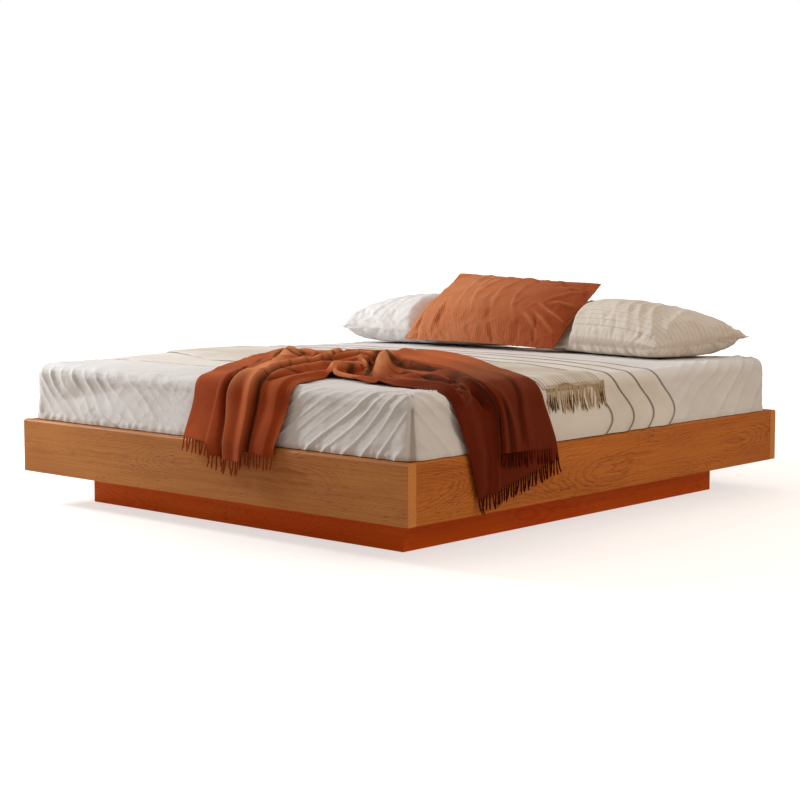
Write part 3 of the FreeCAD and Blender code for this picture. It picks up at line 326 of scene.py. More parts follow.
def mesh_piece(name, points, faces, material, attributes=()):
    """A smooth piece from points and four-sided faces, with vectors stored at its points."""
    mesh = bpy.data.meshes.new(name)
    mesh.vertices.add(len(points))
    mesh.vertices.foreach_set("co", np.ascontiguousarray(points, dtype=np.float32).ravel())
    mesh.loops.add(len(faces) * 4)
    mesh.loops.foreach_set("vertex_index", faces.ravel().astype(np.int32))
    mesh.polygons.add(len(faces))
    mesh.polygons.foreach_set("loop_start", np.arange(0, len(faces) * 4, 4, dtype=np.int32))
    mesh.polygons.foreach_set("use_smooth", np.full(len(faces), True))
    mesh.update(calc_edges=True)
    for key, values in dict(attributes).items():
        layer = mesh.attributes.new(key, "FLOAT_VECTOR", "POINT")
        layer.data.foreach_set("vector", np.ascontiguousarray(values, dtype=np.float32).ravel())
    mesh.materials.append(material)
    piece = bpy.data.objects.new(name, mesh)
    bpy.context.scene.collection.objects.link(piece)
    return piece


def weld(piece, distance=0.00002):
    """Merges points that lie together, as at a pole."""
    shape = bmesh.new()
    shape.from_mesh(piece.data)
    bmesh.ops.remove_doubles(shape, verts=shape.verts, dist=distance)
    shape.to_mesh(piece.data)
    shape.free()


def creases(tree, place, scale):
    """Noise folded at its middle, so that thin valleys wind through it."""
    return math_node(tree, "ABSOLUTE", math_node(tree, "SUBTRACT", noise(tree, place, scale, 3.0), 0.5))


def cloth_finish(name, base, shade, thread, depth, crease=0.0, sheen=0.05, rough=0.85):
    """Woven cloth on Object coordinates: crossed threads, soft clouds of tone and fine creases."""
    material, tree, shader = new_finish(name, Specular_IOR_Level=0.08, Sheen_Weight=sheen,
                                        Sheen_Roughness=0.5, Sheen_Tint=base)
    place = own_place(tree)
    warp = noise(tree, place, (thread, thread * 0.3, thread), 1.0)
    weft = noise(tree, place, (thread * 0.3, thread, thread * 0.3), 1.0)
    weave = math_node(tree, "MULTIPLY", math_node(tree, "ADD", warp, weft), 0.5)
    broad = creases(tree, place, (15.0, 18.0, 16.0))
    tight = creases(tree, place, (42.0, 50.0, 46.0))
    crinkle = math_node(tree, "MULTIPLY_ADD", tight, 0.4, broad)
    cloud = ramp(tree, noise(tree, place, (5.0, 5.0, 7.0), 3.0), (0.35, 0.0), (0.7, 1.0))
    tone = blend_colour(tree, cloud, base, shade)
    tone = blend_colour(tree, math_node(tree, "MULTIPLY", weave, 0.25), tone, shade)
    height = math_node(tree, "MULTIPLY_ADD", crinkle, crease / depth, weave)
    wear(shader, tree, tone, ramp(tree, weave, (0.0, rough - 0.1), (1.0, rough)), height, depth)
    return material


outer, facing, _ = plan_line(HALF_X, HALF_Y, BED_CORNER, (60, 60, 60, 60))
# The mattress's side from the top down, as steps of inset and height: the top's bend, the upper
# tape, the drawn-in side, the lower tape and the base's bend
side_top, side_low = BED_EDGE - 0.052, BED_LOW + 0.030
levels = [(BED_CORNER * (1 - math.sin(turn)), BED_EDGE - BED_CORNER * (1 - math.cos(turn)))
          for turn in np.linspace(0, math.pi / 2, 7)]
levels += [(-TAPE, BED_EDGE - 0.034), (-TAPE, BED_EDGE - 0.046), (0.0, side_top)]
levels += [(WAIST * math.sin(math.pi * share), side_top + (side_low - side_top) * share)
           for share in np.linspace(0.1, 1.0, 10)]
levels += [(-TAPE, BED_LOW + 0.022), (-TAPE, BED_LOW + 0.010)]
levels += [(0.004, BED_LOW + 0.002), (BASE_BEND, BED_LOW)]
rings = []
for share in np.linspace(0, 1, 12, endpoint=False):
    flat = (outer - facing * BED_CORNER) * share
    rings.append(np.column_stack([flat, BED_EDGE + crown(*flat.T)]))
for inset, level in levels:
    flat = outer - facing * inset
    rings.append(np.column_stack([flat, level + crown(*flat.T)]))
for share in (0.6, 0.3, 0.0):
    flat = (outer - facing * BASE_BEND) * share
    rings.append(np.column_stack([flat, np.full(len(flat), BED_LOW)]))
mattress_knit = cloth_finish("mattress_knit", colour(236, 232, 226), colour(214, 208, 200), 600.0, 0.0008,
                             crease=0.0012)
mattress = surface("mattress_block", np.array(rings) + (0, MIDDLE_Y, 0), mattress_knit, closed=True)
weld(mattress)
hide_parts("mattress")
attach(mattress, "deck")

# Fitted sheet: fine cotton pulled over the mattress and tucked under it. It is stretched from the
# corners, so sharp creases fan out of each corner's top, and on the left and at the head it puffs
# out over the rails.
SHEET_GAP = 0.003
SHEET_X = HALF_X + SHEET_GAP
SHEET_Y = HALF_Y + SHEET_GAP
SHEET_EDGE = BED_EDGE + SHEET_GAP
SHEET_CORNER = 0.022
SHEET_BEND = 0.04
SHEET_LOW = 0.285
# Below this height neither the crown nor the tuck at the head moves the bedding
FADE_LEVEL = 0.30
PUFF = 0.023
PUCKER_LEVEL = 0.323
PUCKER_PITCH = 0.042


def puff(x, y):
    """How far the sheet stands out over its outline: on the left, and past the cover at the head."""
    return 0.003 + PUFF * np.maximum(ease((-x - 0.35) / 0.5), ease((y - 0.42) / 0.45))


def raised_by_crown(x, y, level):
    """How far the crown lifts the bedding: fully on the top, and less and less down the sides."""
    return crown(x, y) * ease((level - FADE_LEVEL) / 0.12)


def ripple(u, v, seed, count, low, high):
    """Smooth random waves between about -1 and 1: a sum of sines of two coordinates, whose
    directions and phases come from a seed."""
    draw = np.random.default_rng(seed)
    total = np.zeros(np.broadcast(u, v).shape)
    for _ in range(count):
        turn, length, phase = draw.uniform(0, 2 * math.pi), draw.uniform(low, high), draw.uniform(0, 6.28)
        total += np.sin(2 * math.pi * length * (u * math.cos(turn) + v * math.sin(turn)) + phase)
    return total / math.sqrt(count * 1.6)


def crumple(waves):
    """Waves folded at 0, so that sharp crests run where they change sign."""
    return 1 - 2 * np.abs(waves)


def crease(number, width, seed, power=2.0):
    """A row of crests, one in each whole number, with heights and places drawn at random."""
    whole = np.floor(number)
    level = 0.5 + 0.5 * np.sin(whole * 12.9898 + seed * 7.233) * np.cos(whole * 4.1414 + seed)
    shift = 0.18 * np.sin(whole * 5.77 + seed * 3.1)
    return (0.30 + 0.70 * level) * np.exp(-(np.abs(number - whole - 0.5 - shift) / width) ** power)


# How far the sheet flares out over the rails at a height, and each side's share of it
FLARE = ((0.309, 0.325, 0.345, 0.370, 0.400, 0.430, 0.465), (0.035, 0.035, 0.031, 0.023, 0.013, 0.006, 0.0))
FLARE_SHARES = np.array([1.0, 0.0, 0.9, 0.8])
outer, facing, side = plan_line(SHEET_X, SHEET_Y, SHEET_CORNER, (420, 150, 90, 310))
outer = outer + facing * puff(*outer.T)[:, None]
stand = puff(*outer.T)
headward = np.maximum(facing[:, 1], 0)
# The sheet's rows from the middle of the top to the hem. The lowest ones turn in over the rails.
rows = [("top", share) for share in (0, 0.25, 0.45, 0.6, 0.7, 0.77, 0.82, 0.85, 0.875)]
rows += [("top", share) for share in np.linspace(0.89, 1.0, 18)]
rows += [("bend", turn) for turn in np.linspace(0, math.pi / 2, 12)[1:]]
rows += [("side", level) for level in np.linspace(SHEET_EDGE - SHEET_BEND, 0.320, 36)[1:]]
rows += [("side", level) for level in (0.3175, 0.3150, 0.3128, 0.3112, 0.3102, 0.3097, 0.3093, 0.3089)]
rows += [("side", 0.305), ("side", SHEET_LOW), ("hem", 0.004), ("hem", 0.012)]
grid, way_out, depth = [], [], []
for kind, value in rows:
    if kind == "top":
        flat = (outer - facing * SHEET_BEND) * value
        level = np.full(len(flat), SHEET_EDGE)
        out = np.column_stack([facing * 0, np.ones(len(flat))])
        fall = -SHEET_BEND * math.pi / 4 - (1 - value) * (SHEET_Y - SHEET_BEND)
    elif kind == "bend":
        flat = outer - facing * SHEET_BEND * (1 - math.sin(value))
        level = np.full(len(flat), SHEET_EDGE - SHEET_BEND * (1 - math.cos(value)))
        out = np.column_stack([facing * math.sin(value), np.full(len(flat), math.cos(value))])
        fall = SHEET_BEND * (value - math.pi / 4)
    else:
        low = value if kind == "side" else SHEET_LOW
        flare = np.maximum(np.interp(low, *FLARE) * FLARE_SHARES[side] - stand * 0.8, 0)
        flare = flare * (0.3 + 0.7 * ease((SHEET_X + outer[:, 0]) / 0.3)) * (1 - headward)
        inset = -flare + (stand + flare) * np.interp(low, (0.3089, 0.3093, 0.3102), (1, 0.45, 0))
        inset = inset + (value if kind == "hem" else 0)
        inset = inset + 0.018 * headward * ease((0.355 - low) / 0.04) * ease((low - FADE_LEVEL) / 0.01)
        flat = outer - facing * inset[:, None]
        level = np.full(len(flat), low)
        out = np.column_stack([facing, np.zeros(len(flat))])
        fall = SHEET_BEND * math.pi / 4 + SHEET_EDGE - SHEET_BEND - low
    grid.append(np.column_stack([flat, level + raised_by_crown(*flat.T, level)]))
    way_out.append(out)
    depth.append(np.full(len(flat), fall))
grid, way_out, depth = np.array(grid), np.array(way_out), np.array(depth)
plan_x, plan_y = outer[None, :, 0], outer[None, :, 1]
over, under = np.maximum(depth, 0), np.minimum(depth, 0)
relief = np.zeros(depth.shape)
# One fan for each end of each side: the side, the distance from its corner, the crests' height,
# slope, bend and width, their spacing and how it opens, how far the fan reaches along the side
# and in over the top, where it starts on the top, how far its crests wander, and its seed. The
# sides at the left and at the head aren't in view, so they share their numbers.
HIDDEN_FAN = (0.0050, 0.85, 1.0, 0.20, 0.060, 0.14, 0.40, 0.10, 2.0, 0.012)
fans = ((0, SHEET_X - plan_x, 0.0105, 0.79, 0.0, 0.10, 0.050, 0.11, 0.80, 0.10, 2.0, 0.012, 3),
        (0, SHEET_X + plan_x, 0.0135, 0.42, 3.0, 0.15, 0.056, 0.07, 1.00, 0.035, 0.025, 0.020, 8),
        (1, SHEET_Y + plan_y, *HIDDEN_FAN, 5),
        (1, SHEET_Y - plan_y, *HIDDEN_FAN, 9),
        (2, SHEET_X + plan_x, *HIDDEN_FAN, 12),
        (2, SHEET_X - plan_x, *HIDDEN_FAN, 15),
        (3, SHEET_Y - plan_y, 0.0150, 0.95, 0.0, 0.13, 0.085, 0.16, 0.50, 0.10, 2.0, 0.012, 21),
        (3, SHEET_Y + plan_y, 0.0120, 1.10, 0.0, 0.10, 0.060, 0.16, 0.40, 0.10, 2.0, 0.012, 17))
for number, along, strength, slope, bend, width, pitch, opening, reach, inward, start, wander, seed in fans:
    warp = wander * ripple(along + 0 * depth, depth, seed, 7, 1.5, 6.0)
    count = (along + warp - slope * depth - bend * over ** 2) / np.maximum(pitch + opening * depth, 0.012)
    fade = np.exp(-(along / reach) ** 2) * np.exp(-(under / inward) ** 2)
    fade = fade * np.clip(along / 0.03, 0, 1) * ease((depth + start) / 0.05)
    fade = fade * (0.75 + 0.35 * ripple(along * 2.0 + 0 * depth, depth * 6, seed + 40, 8, 0.6, 2.0))
    fade = fade * ease((SHEET_X + 0.12 - along) / 0.25)
    sharp = crease(count, width, seed, 1.2)
    soft = crease(count * 0.5 + 0.3, 0.30, seed + 1)
    relief += np.where(side[None, :] == number, strength * fade * (sharp + 0.5 * soft), 0)
way = np.where(side % 2 == 0, outer[:, 0], outer[:, 1])[None, :]
apart = way + side[None, :] * 3.3
near_edge = np.clip(1 + under / 0.5, 0, 1)
relief += 0.0012 * ripple(apart, depth * 1.6, 31, 12, 2.0, 9.0) * near_edge
net = crumple(ripple(apart * 3.0, depth * 4.0, 37, 14, 1.0, 4.5))
relief += 0.0007 * np.clip(net, -0.5, 1) * near_edge
rim = np.exp(-((depth + 0.01) / 0.03) ** 2) * (side == 0)[None, :]
relief += 0.0022 * rim * ripple(apart * 2.0, depth * 8.0, 39, 14, 2.0, 8.0)
# A row of puckers where the sheet is gathered, just over the rails
pucker = 0.0038 * np.exp(-((grid[..., 2] - PUCKER_LEVEL) / 0.010) ** 2)
beat = ripple(apart, way * 0, 33, 9, 1.5, 7.0)
wave = 0.5 + 0.5 * np.sin(2 * math.pi * way / PUCKER_PITCH + 3.0 * beat)
relief += pucker * wave * (0.6 + 0.4 * np.clip(beat, -1, 1))
near_corner = np.hypot(plan_x - SHEET_X, plan_y + SHEET_Y)
seam = np.exp(-((near_corner - near_corner.min()) / 0.0022) ** 2) * ease((depth - 0.015) / 0.02)
relief -= 0.003 * seam
relief *= np.array([0.3 if kind == "hem" else 1.0 for kind, _ in rows])[:, None]
sheet_grid = grid + way_out * relief[..., None] + (0, MIDDLE_Y, 0)
sheet_cloth = cloth_finish("sheet_cotton", colour(232, 230, 229), colour(223, 219, 216), 1600.0, 0.00025,
                           crease=0.0035)


def as_marks(values):
    """One number for each point of a grid, as the first part of the vector stored there."""
    return np.stack([values, values * 0, values * 0], -1).reshape(-1, 3)


def stored_part(tree, attribute, part=0):
    """One part of a vector that is stored at the points."""
    stored = node(tree, "ShaderNodeAttribute", attribute_name=attribute).outputs["Vector"]
    return node(tree, "ShaderNodeSeparateXYZ", {"Vector": stored}).outputs[part]


def lay_over(material, share, tone):
    """Goes over a material's colour with a tone by a share."""
    base = material.node_tree.nodes["Principled BSDF"].inputs["Base Color"]
    mixed = blend_colour(material.node_tree, share, base.links[0].from_socket, tone)
    material.node_tree.links.new(mixed, base)


def mark_lines(material, attribute, tone, share):
    """Goes over a cloth's colour with a tone, darker or paler, where an attribute is stored."""
    stored = stored_part(material.node_tree, attribute)
    lay_over(material, math_node(material.node_tree, "MULTIPLY", stored, share), tone)


mark_lines(sheet_cloth, "seam", colour(150, 136, 122), 0.7)
sheet = surface("fitted_cotton_sheet", sheet_grid, sheet_cloth, closed=True,
                attributes={"seam": as_marks(seam)})
weld(sheet)
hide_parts("fitted_sheet")
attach(sheet, "deck")

# Cover: a quilted cotton cover folded back on itself in four laps. Each lap ends towards the head
# in a rolled edge bound in dark tape, and all of them hang down to the side rails. The dark band
# at each rolled edge is partly the tape and partly painted shade of the roll.
LAP_RISE = 0.0030
LAP_ROLL = 0.0030
TAPE_WIDTH = 0.011
LAP_ENDS = (0.39, 0.26, 0.13, 0.0)
LAP_STARTS = (-0.40, -0.40, -0.40, -0.72)
# Between these places along the bed the cover's height goes from one lap to all four
RISE_PLACES = (-0.72, -0.45)
COVER_START = 0.0006
COVER_BOTTOM = 0.3105
SHEET_CLEARANCE = 0.006


def over_sides(across, along, lift):
    """A point on the bed from its distance across, measured over the edges, its place along, and
    its lift: flat to the shoulder, a quarter circle round the edge, then straight down."""
    flat = SHEET_X - SHEET_BEND
    hand, reach = np.sign(across), np.abs(across)
    turn = np.clip((reach - flat) / SHEET_BEND, 0, math.pi / 2)
    drop = np.maximum(reach - flat - SHEET_BEND * math.pi / 2, 0)
    x = np.minimum(reach, flat) + (SHEET_BEND + lift) * np.sin(turn)
    stand = puff(hand * x, along)
    low = SHEET_EDGE - SHEET_BEND * np.sin(turn) - drop
    flare = np.maximum(np.interp(low, *FLARE) * FLARE_SHARES[3] - 0.8 * stand, 0)
    x = x + (stand + flare) * np.sin(turn)
    top = SHEET_EDGE - SHEET_BEND + (SHEET_BEND + lift) * np.cos(turn) - drop
    top = top + raised_by_crown(hand * np.minimum(x, HALF_X), along - MIDDLE_Y, top)
    return np.stack([hand * x, along, top], -1)


def smooth_line(points, times=4):
    """A line with its corners cut again and again, until it is smooth."""
    points = np.array(points)
    for _ in range(times):
        first = points[:-1] * 0.75 + points[1:] * 0.25
        second = points[:-1] * 0.25 + points[1:] * 0.75
        cut = np.stack([first, second], 1).reshape(-1, points.shape[1])
        points = np.vstack([points[:1], cut, points[-1:]])
    return points


SIDE_DROP = SHEET_EDGE - SHEET_BEND - COVER_BOTTOM
WHOLE_ACROSS = SHEET_X - SHEET_BEND + SHEET_BEND * math.pi / 2 + SIDE_DROP
across = np.linspace(-WHOLE_ACROSS, WHOLE_ACROSS, 250)[None, :]
# How the laps' ends swing along the bed: towards the foot at the edge, back to the head down the side
swing_line = smooth_line(((0, 0), (0.45, -0.012), (0.70, -0.045), (0.84, -0.100), (0.90, -0.105),
                          (0.94, -0.065), (0.975, -0.030), (1.005, -0.012), (1.035, -0.018),
                          (WHOLE_ACROSS, -0.060)))
swing = np.interp(np.abs(across), swing_line[:, 0], swing_line[:, 1])
down_side = ease((np.abs(across) - SHEET_X + SHEET_BEND) / 0.08)
share = np.concatenate([np.linspace(0, 0.86, 26), np.linspace(0.88, 0.955, 6), np.linspace(0.962, 1.0, 9)])
share = share[:, None]
roll = np.linspace(0, math.pi, 8)[1:, None]
hem_insets = np.array([0.006, 0.014])[:, None]
lap_grids, lap_faces, lap_marks = [], [], []
for lap, (start, end) in enumerate(zip(LAP_STARTS, LAP_ENDS)):
    flat_y = start + (end - start) * share + swing * share ** 3
    short = np.abs(flat_y[-1:] - flat_y)
    plump = 0.0030 * np.exp(-((short - 0.035) / 0.022) ** 2)
    cord = 0.0022 * np.exp(-((short - 0.004) / 0.005) ** 4)
    dip = 0.0016 * np.exp(-((short - 0.0135) / 0.004) ** 2)
    lift = np.interp(flat_y, RISE_PLACES, (LAP_RISE, LAP_RISE * (lap + 1))) + plump + cord - dip
    lift = lift + 0.0013 * ripple(across, flat_y, 41 + lap, 10, 1.0, 5.0) * (0.4 + share)
    lift = COVER_START + (lift - COVER_START) * ease((flat_y - start + 0.004) / 0.03)
    if lap == 0:
        # The lowest lap clears the sheet's folds where no other lap lies on it
        lift = lift + SHEET_CLEARANCE * ease((flat_y - LAP_ENDS[1] - swing - 0.01) / 0.05) * down_side
    y = np.vstack([flat_y, flat_y[-1:] + LAP_ROLL * np.sin(roll), flat_y[-1:] - hem_insets])
    height = np.vstack([lift, lift[-1:] - LAP_ROLL * (1 - np.cos(roll)),
                        lift[-1:] - 2 * LAP_ROLL + 0 * hem_insets])
    lap_grid = over_sides(across + 0 * y, y, height)
    rows, columns = lap_grid.shape[:2]
    lap_faces.append(grid_faces(np.arange(rows * columns).reshape(rows, columns) + lap * rows * columns))
    lap_grids.append(lap_grid.reshape(-1, 3))
    # The tape mark: dark tape with painted shade of the rolled edge, over each lap's last stretch and roll.
    tape_and_edge_shade = np.vstack([ease((TAPE_WIDTH - short) / 0.003), np.ones((rows - len(share), columns))])
    lap_marks.append(as_marks(tape_and_edge_shade))
cover_cloth = cloth_finish("cover_cotton", colour(234, 229, 223), colour(224, 216, 207), 1500.0, 0.00025,
                           crease=0.0026)
# Dark tape and painted shade of the rolled edges.
mark_lines(cover_cloth, "tape_and_edge_shade", colour(92, 78, 66), 0.78)
cover = mesh_piece("folded_cover", np.vstack(lap_grids), np.vstack(lap_faces)[:, ::-1], cover_cloth,
                   attributes={"tape_and_edge_shade": np.vstack(lap_marks)})
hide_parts("coverlet")
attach(cover, "deck")

# Cream throw: a thin wool throw laid flat across the bed under the rust one. Its right end stops
# just over the mattress's edge, in a dense fringe of knotted tassels that hangs down the cover.
CREAM_GAP = 0.0045
CREAM_LIFT = LAP_RISE * 4 + CREAM_GAP
CREAM_START = -0.9
CREAM_END = 0.905
CREAM_TASSEL = 0.0026
places = np.linspace(CREAM_START, CREAM_END, 200)
near_y = np.interp(places, (CREAM_START, -0.45, 0.18, 0.75, CREAM_END), (-0.42, -0.60, -0.56, -0.44, -0.38))
far_y = np.interp(places, (CREAM_START, 0.27, 0.6, 0.8, CREAM_END), (-0.06, -0.08, -0.085, -0.11, -0.06))
share = np.linspace(0, 1, 90)[:, None]
across = places[None, :] + 0.006 * ripple(share, share * 0, 51, 5, 0.5, 3.0)
along = near_y[None, :] * (1 - share) + far_y[None, :] * share
lift = np.interp(along, RISE_PLACES, (LAP_RISE + CREAM_GAP, CREAM_LIFT)) + 0.0015
lift = lift + 0.0016 * ripple(across * 1.2, along, 52, 12, 1.5, 6.0)
lift = lift - CREAM_GAP * np.exp(-(share / 0.03) ** 2)
cream_grid = over_sides(across, along, lift)
cream_cloth = cloth_finish("cream_wool", colour(230, 224, 215), colour(208, 195, 178), 900.0, 0.0005,
                           crease=0.0020)
mark_lines(cream_cloth, "stripe", colour(124, 97, 71), 0.55)
line = np.abs((share * 17.0 + 0.25 * ripple(across, along, 53, 6, 0.5, 2.0)) % 1 - 0.5)
stripe = ease((0.09 - line) / 0.05) * ease((across - 0.62) / 0.2)
cream = surface("cream_wool_throw", cream_grid[:, ::-1], cream_cloth, attributes={
    "stripe": as_marks(stripe[:, ::-1])})
thick = cream.modifiers.new("thickness", "SOLIDIFY")
thick.thickness = 0.002
thick.offset = 0
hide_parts("cream_throw")
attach(cream, "deck")


def tassels(name, roots, falls, radius, material, seed):
    """A fringe. Each tassel is a tapered twisted bundle that starts at its root and follows its
    fall vector: centre = root + fall * share + a small sway, radius = a full head that narrows,
    and three lobes that turn round it."""
    draw = np.random.default_rng(seed)
    share = np.linspace(0, 1, 9)[None, :, None]
    turn = np.linspace(0, 2 * math.pi, 6, endpoint=False)[None, None, :]
    count = len(roots)
    sway = draw.uniform(-1, 1, (count, 1, 1, 3)) * (0.30, 0.30, 0.0)
    length = np.linalg.norm(falls, axis=1)[:, None, None, None]
    centre = (roots[:, None, None, :] + falls[:, None, None, :] * share[..., None]
              + sway * length * share[..., None] ** 2 * 0.5)
    lobes = 1 + 0.28 * np.cos(3 * (turn - 7.0 * share * draw.uniform(0.7, 1.3, (count, 1, 1))))
    width = radius * np.interp(share, (0, 0.06, 0.2, 0.85, 1.0), (0.7, 1.15, 0.85, 1.0, 0.25)) * lobes
    points = centre + width[..., None] * np.stack([np.cos(turn), np.sin(turn), 0 * turn], -1)
    index = np.arange(points[..., 0].size).reshape(points.shape[:3])
    after = np.roll(index, -1, 2)
    faces = np.stack([index[:, :-1], index[:, 1:], after[:, 1:], after[:, :-1]], -1).reshape(-1, 4)
    return mesh_piece(name, points.reshape(-1, 3), faces, material)


# Each row of the cream fringe: its name, its wool, its count, its tone and how far its roots lie
# below those of the first row. The second row is dark tassels behind the first: painted shade
# between the cream tassels.
CREAM_FRINGES = (("cream_wool_fringe", "cream_fringe_wool", 46, colour(206, 184, 152), 0.0),
                 ("cream_wool_underfringe", "fringe_shade_wool", 58, colour(104, 76, 48), 0.0028))
draw = np.random.default_rng(61)
cream_tassels = []
for row, (name, wool, count, tone, behind) in enumerate(CREAM_FRINGES):
    roots_y = np.linspace(-0.360, -0.045, count)
    roots_lift = np.full(count, CREAM_LIFT + 0.003 - behind)
    roots = over_sides(np.full(count, CREAM_END - 0.004), roots_y, roots_lift)
    falls = np.column_stack([np.full(count, 0.006), draw.uniform(-0.008, 0.008, count),
                             -draw.uniform(0.080, 0.098, count)])
    fringe_wool = cloth_finish(wool, tone, tone, 900.0, 0.0006)
    cream_tassels.append(tassels(name, roots, falls, CREAM_TASSEL, fringe_wool, 62 + row))
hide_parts("cream_throw_fringe")
for piece in cream_tassels:
    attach(piece, "deck")

# Rust throw: brushed wool with a fringe at both ends. It climbs from the foot rail, turns and
# bunches over the bed, and falls over the right rail, with long folds that start at the bunch.
FALL_START = 0.30
FALL_TOP = 0.502
# The falls' lines over the edges, as points of distance in from the edge and height
FOOT_FALL = ((FALL_START, FALL_TOP), (0.10, FALL_TOP), (0.04, 0.4995), (0.012, 0.491), (-0.004, 0.472),
             (-0.018, 0.430), (-0.045, 0.370), (-0.064, 0.330), (-0.0735, 0.305), (-0.0750, 0.270),
             (-0.0750, 0.200))
SIDE_FALL = ((FALL_START, FALL_TOP), (0.10, FALL_TOP), (0.04, 0.4990), (0.010, 0.490), (-0.012, 0.468),
             (-0.024, 0.420), (-0.036, 0.360), (-0.0435, 0.322), (-0.0460, 0.300), (-0.0465, 0.250),
             (-0.0465, 0.100))


def lengths_along(line):
    """Each point's distance from the start, measured along the line."""
    return np.concatenate([[0], np.cumsum(np.linalg.norm(np.diff(line, axis=0), axis=1))])


def fall_tables(points):
    """A fall's line as tables over its length: distance in from the edge, height, and their slopes."""
    line = smooth_line(points)
    length = lengths_along(line)
    slope = np.gradient(line, length, axis=0)
    return length, line[:, 0], line[:, 1], slope[:, 0], slope[:, 1]


foot_tables, side_tables = fall_tables(FOOT_FALL), fall_tables(SIDE_FALL)


def drape(across, along, lift):
    """A point of the throw. Across and along are measured on the cloth, so past the right edge or
    the foot edge they run down the falls. The lift is along the cloth's own outward direction."""
    past_right = np.maximum(across - (SHEET_X - FALL_START), 0)
    past_foot = np.maximum(-along - (SHEET_Y - FALL_START) - MIDDLE_Y, 0)
    right_in, right_z, right_dx, right_dz = (np.interp(past_right, side_tables[0], part)
                                             for part in side_tables[1:])
    foot_in, foot_z, foot_dy, foot_dz = (np.interp(past_foot, foot_tables[0], part)
                                         for part in foot_tables[1:])
    x = np.where(past_right > 0, SHEET_X - right_in, across)
    y = np.where(past_foot > 0, -(SHEET_Y - foot_in) + MIDDLE_Y, along)
    z = right_z + foot_z - FALL_TOP + crown(x, y - MIDDLE_Y)
    out = np.stack([-right_dz, foot_dz, np.where(past_foot > past_right, -foot_dy, -right_dx)], -1)
    out /= np.linalg.norm(out, axis=-1, keepdims=True)
    return np.stack([x, y, z], -1) + out * lift[..., None]


def foot_reach(height):
    """How far along the cloth the foot fall reaches a height."""
    return -(SHEET_Y - FALL_START) - MIDDLE_Y - np.interp(-height, -foot_tables[2], foot_tables[0])


def side_reach(height):
    """How far across the cloth the right fall reaches a height."""
    return SHEET_X - FALL_START + np.interp(-height, -side_tables[2], side_tables[0])


def track(points, places):
    """A smooth line through plan points, read at places along it from 0 to 1 by its length."""
    line = smooth_line(points, 3)
    length = lengths_along(line)
    return np.stack([np.interp(places, length / length[-1], line[:, axis]) for axis in (0, 1)], -1)


def between(near, far, share):
    """The plan of a cloth that spans from its near line to its far one, by shares of its width."""
    return near[:, None, :] * (1 - share[..., None]) + far[:, None, :] * share[..., None]


FAR_LINE = ((-0.043, foot_reach(0.312)), (-0.046, -1.09), (-0.050, -0.99), (-0.120, -0.88),
            (-0.207, -0.759), (-0.294, -0.573), (-0.365, -0.40), (-0.36, -0.26), (-0.27, -0.14),
            (-0.14, -0.02), (0.0, 0.045), (0.14, 0.045), (0.30, -0.03), (0.45, -0.13), (0.593, -0.239),
            (0.74, -0.335), (0.84, -0.40), (0.94, -0.41), (1.02, -0.385), (side_reach(0.262), -0.362))
NEAR_LINE = ((0.386, foot_reach(0.281)), (0.395, -1.10), (0.404, -1.00), (0.390, -0.92), (0.362, -0.844),
             (0.345, -0.77), (0.39, -0.775), (0.441, -0.787), (0.536, -0.821), (0.613, -0.83),
             (0.693, -0.835), (0.80, -0.838), (0.87, -0.838), (0.93, -0.83), (1.00, -0.812), (1.08, -0.79),
             (side_reach(0.167), -0.747))
# Marks along the throw from the foot hem to the right one, and the places on the far and the near
# edge that belong to them, all as shares of the length
MARKS = (0, 0.20, 0.42, 0.56, 0.80, 1.0)
FAR_MARKS = (0, 0.125, 0.36, 0.56, 0.87, 1.0)
NEAR_MARKS = (0, 0.16, 0.33, 0.47, 0.735, 1.0)
along_share = np.interp(np.linspace(0, 1, 440), (0, 0.16, 0.62, 1.0), (0, 0.20, 0.62, 1.0))
far = track(FAR_LINE, np.interp(along_share, MARKS, FAR_MARKS))
near = track(NEAR_LINE, np.interp(along_share, MARKS, NEAR_MARKS))
width_share = np.linspace(0, 1, 200)[None, :]
plan = between(near, far, width_share)
# The front panel of the foot fall hangs lower than the two beside it
front_panel = ease((plan[..., 0] - 0.085) / 0.02) * ease((0.262 - plan[..., 0]) / 0.012)
plan[..., 1] -= 0.036 * front_panel * ease((-1.02 - plan[..., 1]) / 0.16)


def fold(plan, points, left, right):
    """The relief of one fold: its crest runs through points of (across, along, height), and falls
    off to the left and right of its direction as exp(-(distance / width) ** 2)."""
    line = smooth_line(points, 2)
    start, step = line[:-1, :2], np.diff(line[:, :2], axis=0)
    flat = plan.reshape(-1, 2)
    relief = np.zeros(len(flat))
    reach = 2.4 * max(left, right)
    low, high = line[:, :2].min(0) - reach, line[:, :2].max(0) + reach
    near_by = np.where(((flat > low) & (flat < high)).all(1))[0]
    apart = flat[near_by, None, :] - start[None]
    share = np.clip((apart * step).sum(-1) / (step ** 2).sum(-1), 0, 1)
    apart = apart - share[..., None] * step
    distance = np.linalg.norm(apart, axis=-1)
    nearest = distance.argmin(1)
    pick = np.arange(len(near_by))
    side = step[nearest, 0] * apart[pick, nearest, 1] - step[nearest, 1] * apart[pick, nearest, 0]
    width = np.where(side > 0, left, right)
    height = line[nearest, 2] + share[pick, nearest] * (line[nearest + 1, 2] - line[nearest, 2])
    relief[near_by] = height * np.exp(-(distance[pick, nearest] / width) ** 2)
    return relief.reshape(plan.shape[:2])


def folds(plan, table):
    """Crests from a table of (left width, right width, points). Where two meet, the higher one
    leads: total = (sum of cubes) ** (1 / 3)."""
    return sum(fold(plan, points, left, right) ** 3 for left, right, points in table) ** (1 / 3)


CREST_SCALE = 1.25
GROOVE_SCALE = 1.8
GROOVE_WIDTH = 0.85
